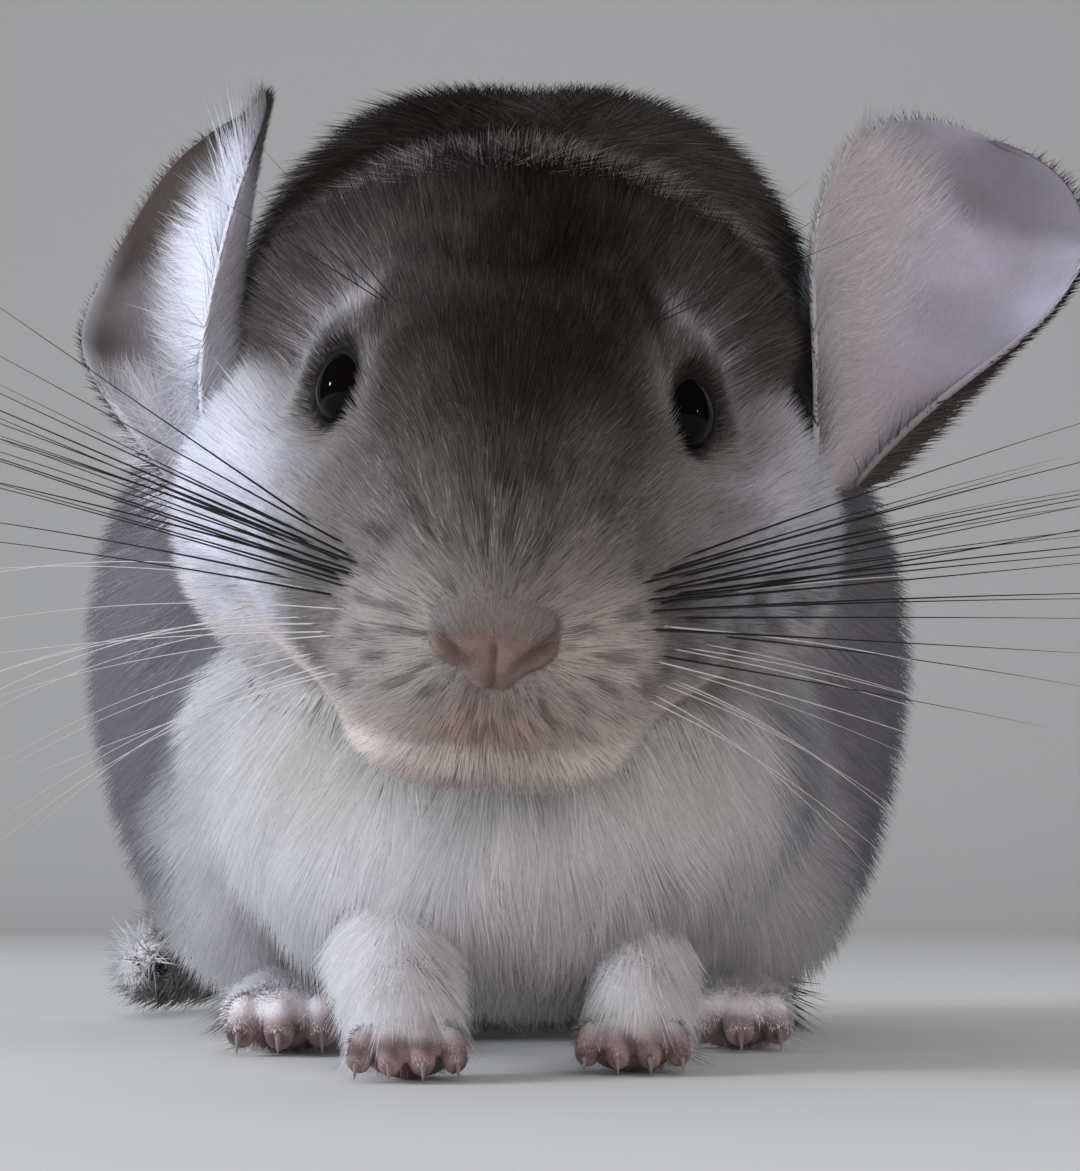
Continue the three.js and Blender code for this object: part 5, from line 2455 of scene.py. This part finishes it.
    def hair(self, skin: bpy.types.Object) -> None:
        """Grows the hair that covers the paw's back and stays short on the toes.

        Args:
            skin: The skin of the paw, with its unwrap.
        """
        top = self._front[1]
        roots = Surface(skin).scatter(self._density, SEED + 41 + self.side)
        draw = np.random.default_rng(SEED + 44)
        count = len(roots)
        back = smooth(roots.place[:, 1], top + 3.5, top + 10.0)
        lie = np.array([0.0, -1.0, -0.45]) + draw.normal(0, 0.16, (count, 3))
        length = (0.9 + 1.7 * back) * draw.uniform(0.8, 1.2, count)
        lift = np.radians(16.0 + 10.0 * back) * draw.normal(1.0, 0.2, count)
        patchy = smooth(waves(roots.place, 2.0, 91), -0.3, 0.7) * (1 - back)
        pale = shade(228, 222, 228) if self.hind else shade(188, 180, 182)
        tint = mixed(pale, Palette.MAUVE, patchy * (0.5 if self.hind else 0.85))
        tint = speckled(tint, draw, 0.14)
        width = 0.07 + 0.02 * back
        growth = Growth(lie, length, width, lift, np.full(count, 0.2), (tint * 0.8, tint, tint * 1.1))
        piece = grown(f"{self.name}_hair", roots, growth, TuftShape.SPIKE, SEED + 45)
        dressed(piece, "coat_white", CoatFinish(f"{self.name}_fur").material())


# The studio


PHOTO_HEIGHT = 1171.0
SENSOR = 36.0
SKY = (0.8, 0.9, 1.0)


@dataclass(frozen=True)
class Lamp:
    """One soft panel that shines at the animal.

    Attributes:
        name: Its name.
        place: Where it hangs, in metres.
        aim: How high over the middle of the frame it shines.
        size: Its width.
        power: Its power in watts.
        colour: Its colour.
        mirrored: Whether glossy things mirror it.
    """

    name: str
    place: tuple[float, float, float]
    aim: float
    size: float
    power: float
    colour: tuple[float, float, float]
    mirrored: bool = False

    def build(self) -> None:
        """Hangs it up."""
        data = bpy.data.lights.new(self.name, "AREA")
        data.size = self.size
        data.energy = self.power
        data.color = self.colour
        lamp = bpy.data.objects.new(self.name, data)
        lamp.location = self.place
        heading = Vector((0, 0, self.aim)) - Vector(self.place)
        lamp.rotation_euler = heading.to_track_quat("-Z", "Y").to_euler()
        lamp.visible_glossy = self.mirrored
        bpy.context.scene.collection.objects.link(lamp)


LAMPS = (
    Lamp("window", (-1.02, -0.24, 0.36), 0.06, 0.62, 11.0, (0.86, 0.92, 1.0)),
    Lamp("front", (0.3, -1.06, 0.24), 0.06, 0.8, 6.8, (1.0, 0.97, 0.94)),
    Lamp("top", (0.0, 0.35, 1.1), 0.05, 0.8, 1.4, (1.0, 1.0, 1.0)),
    Lamp("catch_right", (-0.98, -0.2, 0.36), 0.07, 0.085, 2.2, SKY, mirrored=True),
    Lamp("catch_left", (0.95, -0.32, 0.2), 0.07, 0.04, 0.3, SKY, mirrored=True),
)


@dataclass
class Studio:
    """Floor, lights and camera.

    Attributes:
        flat: How far behind the frame's middle the floor starts to bend up, in metres.
        bend: The radius of that bend, in metres.
        focus: The focal length in pixels of the photograph's frame.
        pitch: How far the camera looks up, in degrees.
        yaw: How far it looks to the animal's left, in degrees.
        stand: Where it stands, in the animal's frame.
        world: The light from all round, as a colour and a strength.
    """

    flat: float = 1.2
    bend: float = 0.6
    focus: float = 2550.0
    pitch: float = 6.98
    yaw: float = 0.79
    stand: tuple[float, float, float] = (0.0, -285.0, 20.0)
    world: tuple[tuple[float, ...], float] = ((0.86, 0.88, 0.92, 1.0), 0.45)

    def floor(self) -> None:
        """A sheet of pale paper that bends up behind the animal."""
        bm = bmesh.new()
        bmesh.ops.create_grid(bm, x_segments=1, y_segments=40, size=1.0)
        for vert in bm.verts:
            along = (vert.co.y + 1) / 2 * 5.0 - 2.0
            past = max(0.0, along - self.flat)
            angle = min(past / self.bend, math.pi / 2)
            rise = self.bend * (1 - math.cos(angle)) + max(0.0, past - self.bend * math.pi / 2)
            vert.co = Vector((vert.co.x * 3.0, min(along, self.flat) + self.bend * math.sin(angle), rise))
        mesh = bpy.data.meshes.new("floor")
        bm.to_mesh(mesh)
        bm.free()
        mesh.shade_smooth()
        floor = shown("floor", mesh)
        floor.data.materials.append(FloorFinish().material())

    def build(self) -> None:
        """Sets up floor, lights, world and camera."""
        self.floor()
        for lamp in LAMPS:
            lamp.build()
        world = bpy.data.worlds.new("studio")
        world.use_nodes = True
        for socket, value in zip(world.node_tree.nodes["Background"].inputs, self.world):
            socket.default_value = value
        world.cycles_visibility.glossy = False
        bpy.context.scene.world = world
        bpy.context.scene.view_settings.view_transform = "Standard"
        data = bpy.data.cameras.new("camera")
        data.sensor_width = SENSOR
        data.lens = SENSOR * self.focus / PHOTO_HEIGHT
        data.clip_start = 0.01
        camera = bpy.data.objects.new("camera", data)
        pitch, yaw = math.radians(self.pitch), math.radians(self.yaw)
        look = Vector((math.sin(yaw) * math.cos(pitch), math.cos(yaw) * math.cos(pitch), math.sin(pitch)))
        camera.location = in_frame(self.stand)
        camera.rotation_euler = look.to_track_quat("-Z", "Y").to_euler()
        bpy.context.scene.collection.objects.link(camera)
        bpy.context.scene.camera = camera


def main() -> None:
    """Builds the animal and its studio."""
    logging.basicConfig(level=logging.INFO, format="%(relativeCreated)6d ms %(message)s")
    Studio().build()
    skin = Skin().build()
    Coat(skin, fine=1.0).build()
    TailCoat(skin).build()
    for name, side in SIDES:
        Eye(name, side).build()
        Paw(f"forepaw_{name}", side, hind=False).build()
        Paw(f"hindfoot_{name}", side, hind=True).build()
    NoseLeather().build()
    Whiskers().build()
    # The right ear is painted in shaded copies of the ear's colours: its hollow is dark as painted shade,
    # where the left ear's lit hollow is lilac.
    shaded_ear = EarLook(
        hollow=(92, 86, 84),
        shadow=(60, 54, 52),
        top=(66, 58, 52),
        root=(170, 158, 152),
        fleece=(200, 198, 208),
        back=(100, 94, 93),
        edge=(172, 170, 180),
        combed=0.95,
        reach=-1.0,
        fade=1.15,
        long=13.0,
        tip_shade_from=0.62,
    )
    lilac = EarLook(
        hollow=(168, 163, 179),
        shadow=(152, 147, 160),
        # Painted shade on the rolled tip of the left ear.
        top=(112, 107, 114),
        root=(184, 162, 158),
        fleece=(178, 171, 174),
        back=(88, 81, 79),
        edge=(150, 145, 148),
        combed=0.52,
        reach=-0.3,
        fade=0.9,
        long=7.5,
        tip_shade_from=0.72,
    )
    Ear("right", -1, (-36, 35, 71.5), (-0.1, 0.19, 0.97), (-0.84, -0.54, 0.1), shaded_ear).build()
    Ear("left", 1, (42, 36, 72), (0.43, 0.06, 0.9), (0.04, -0.99, 0.1), lilac).build()


if __name__ == "__main__":
    main()
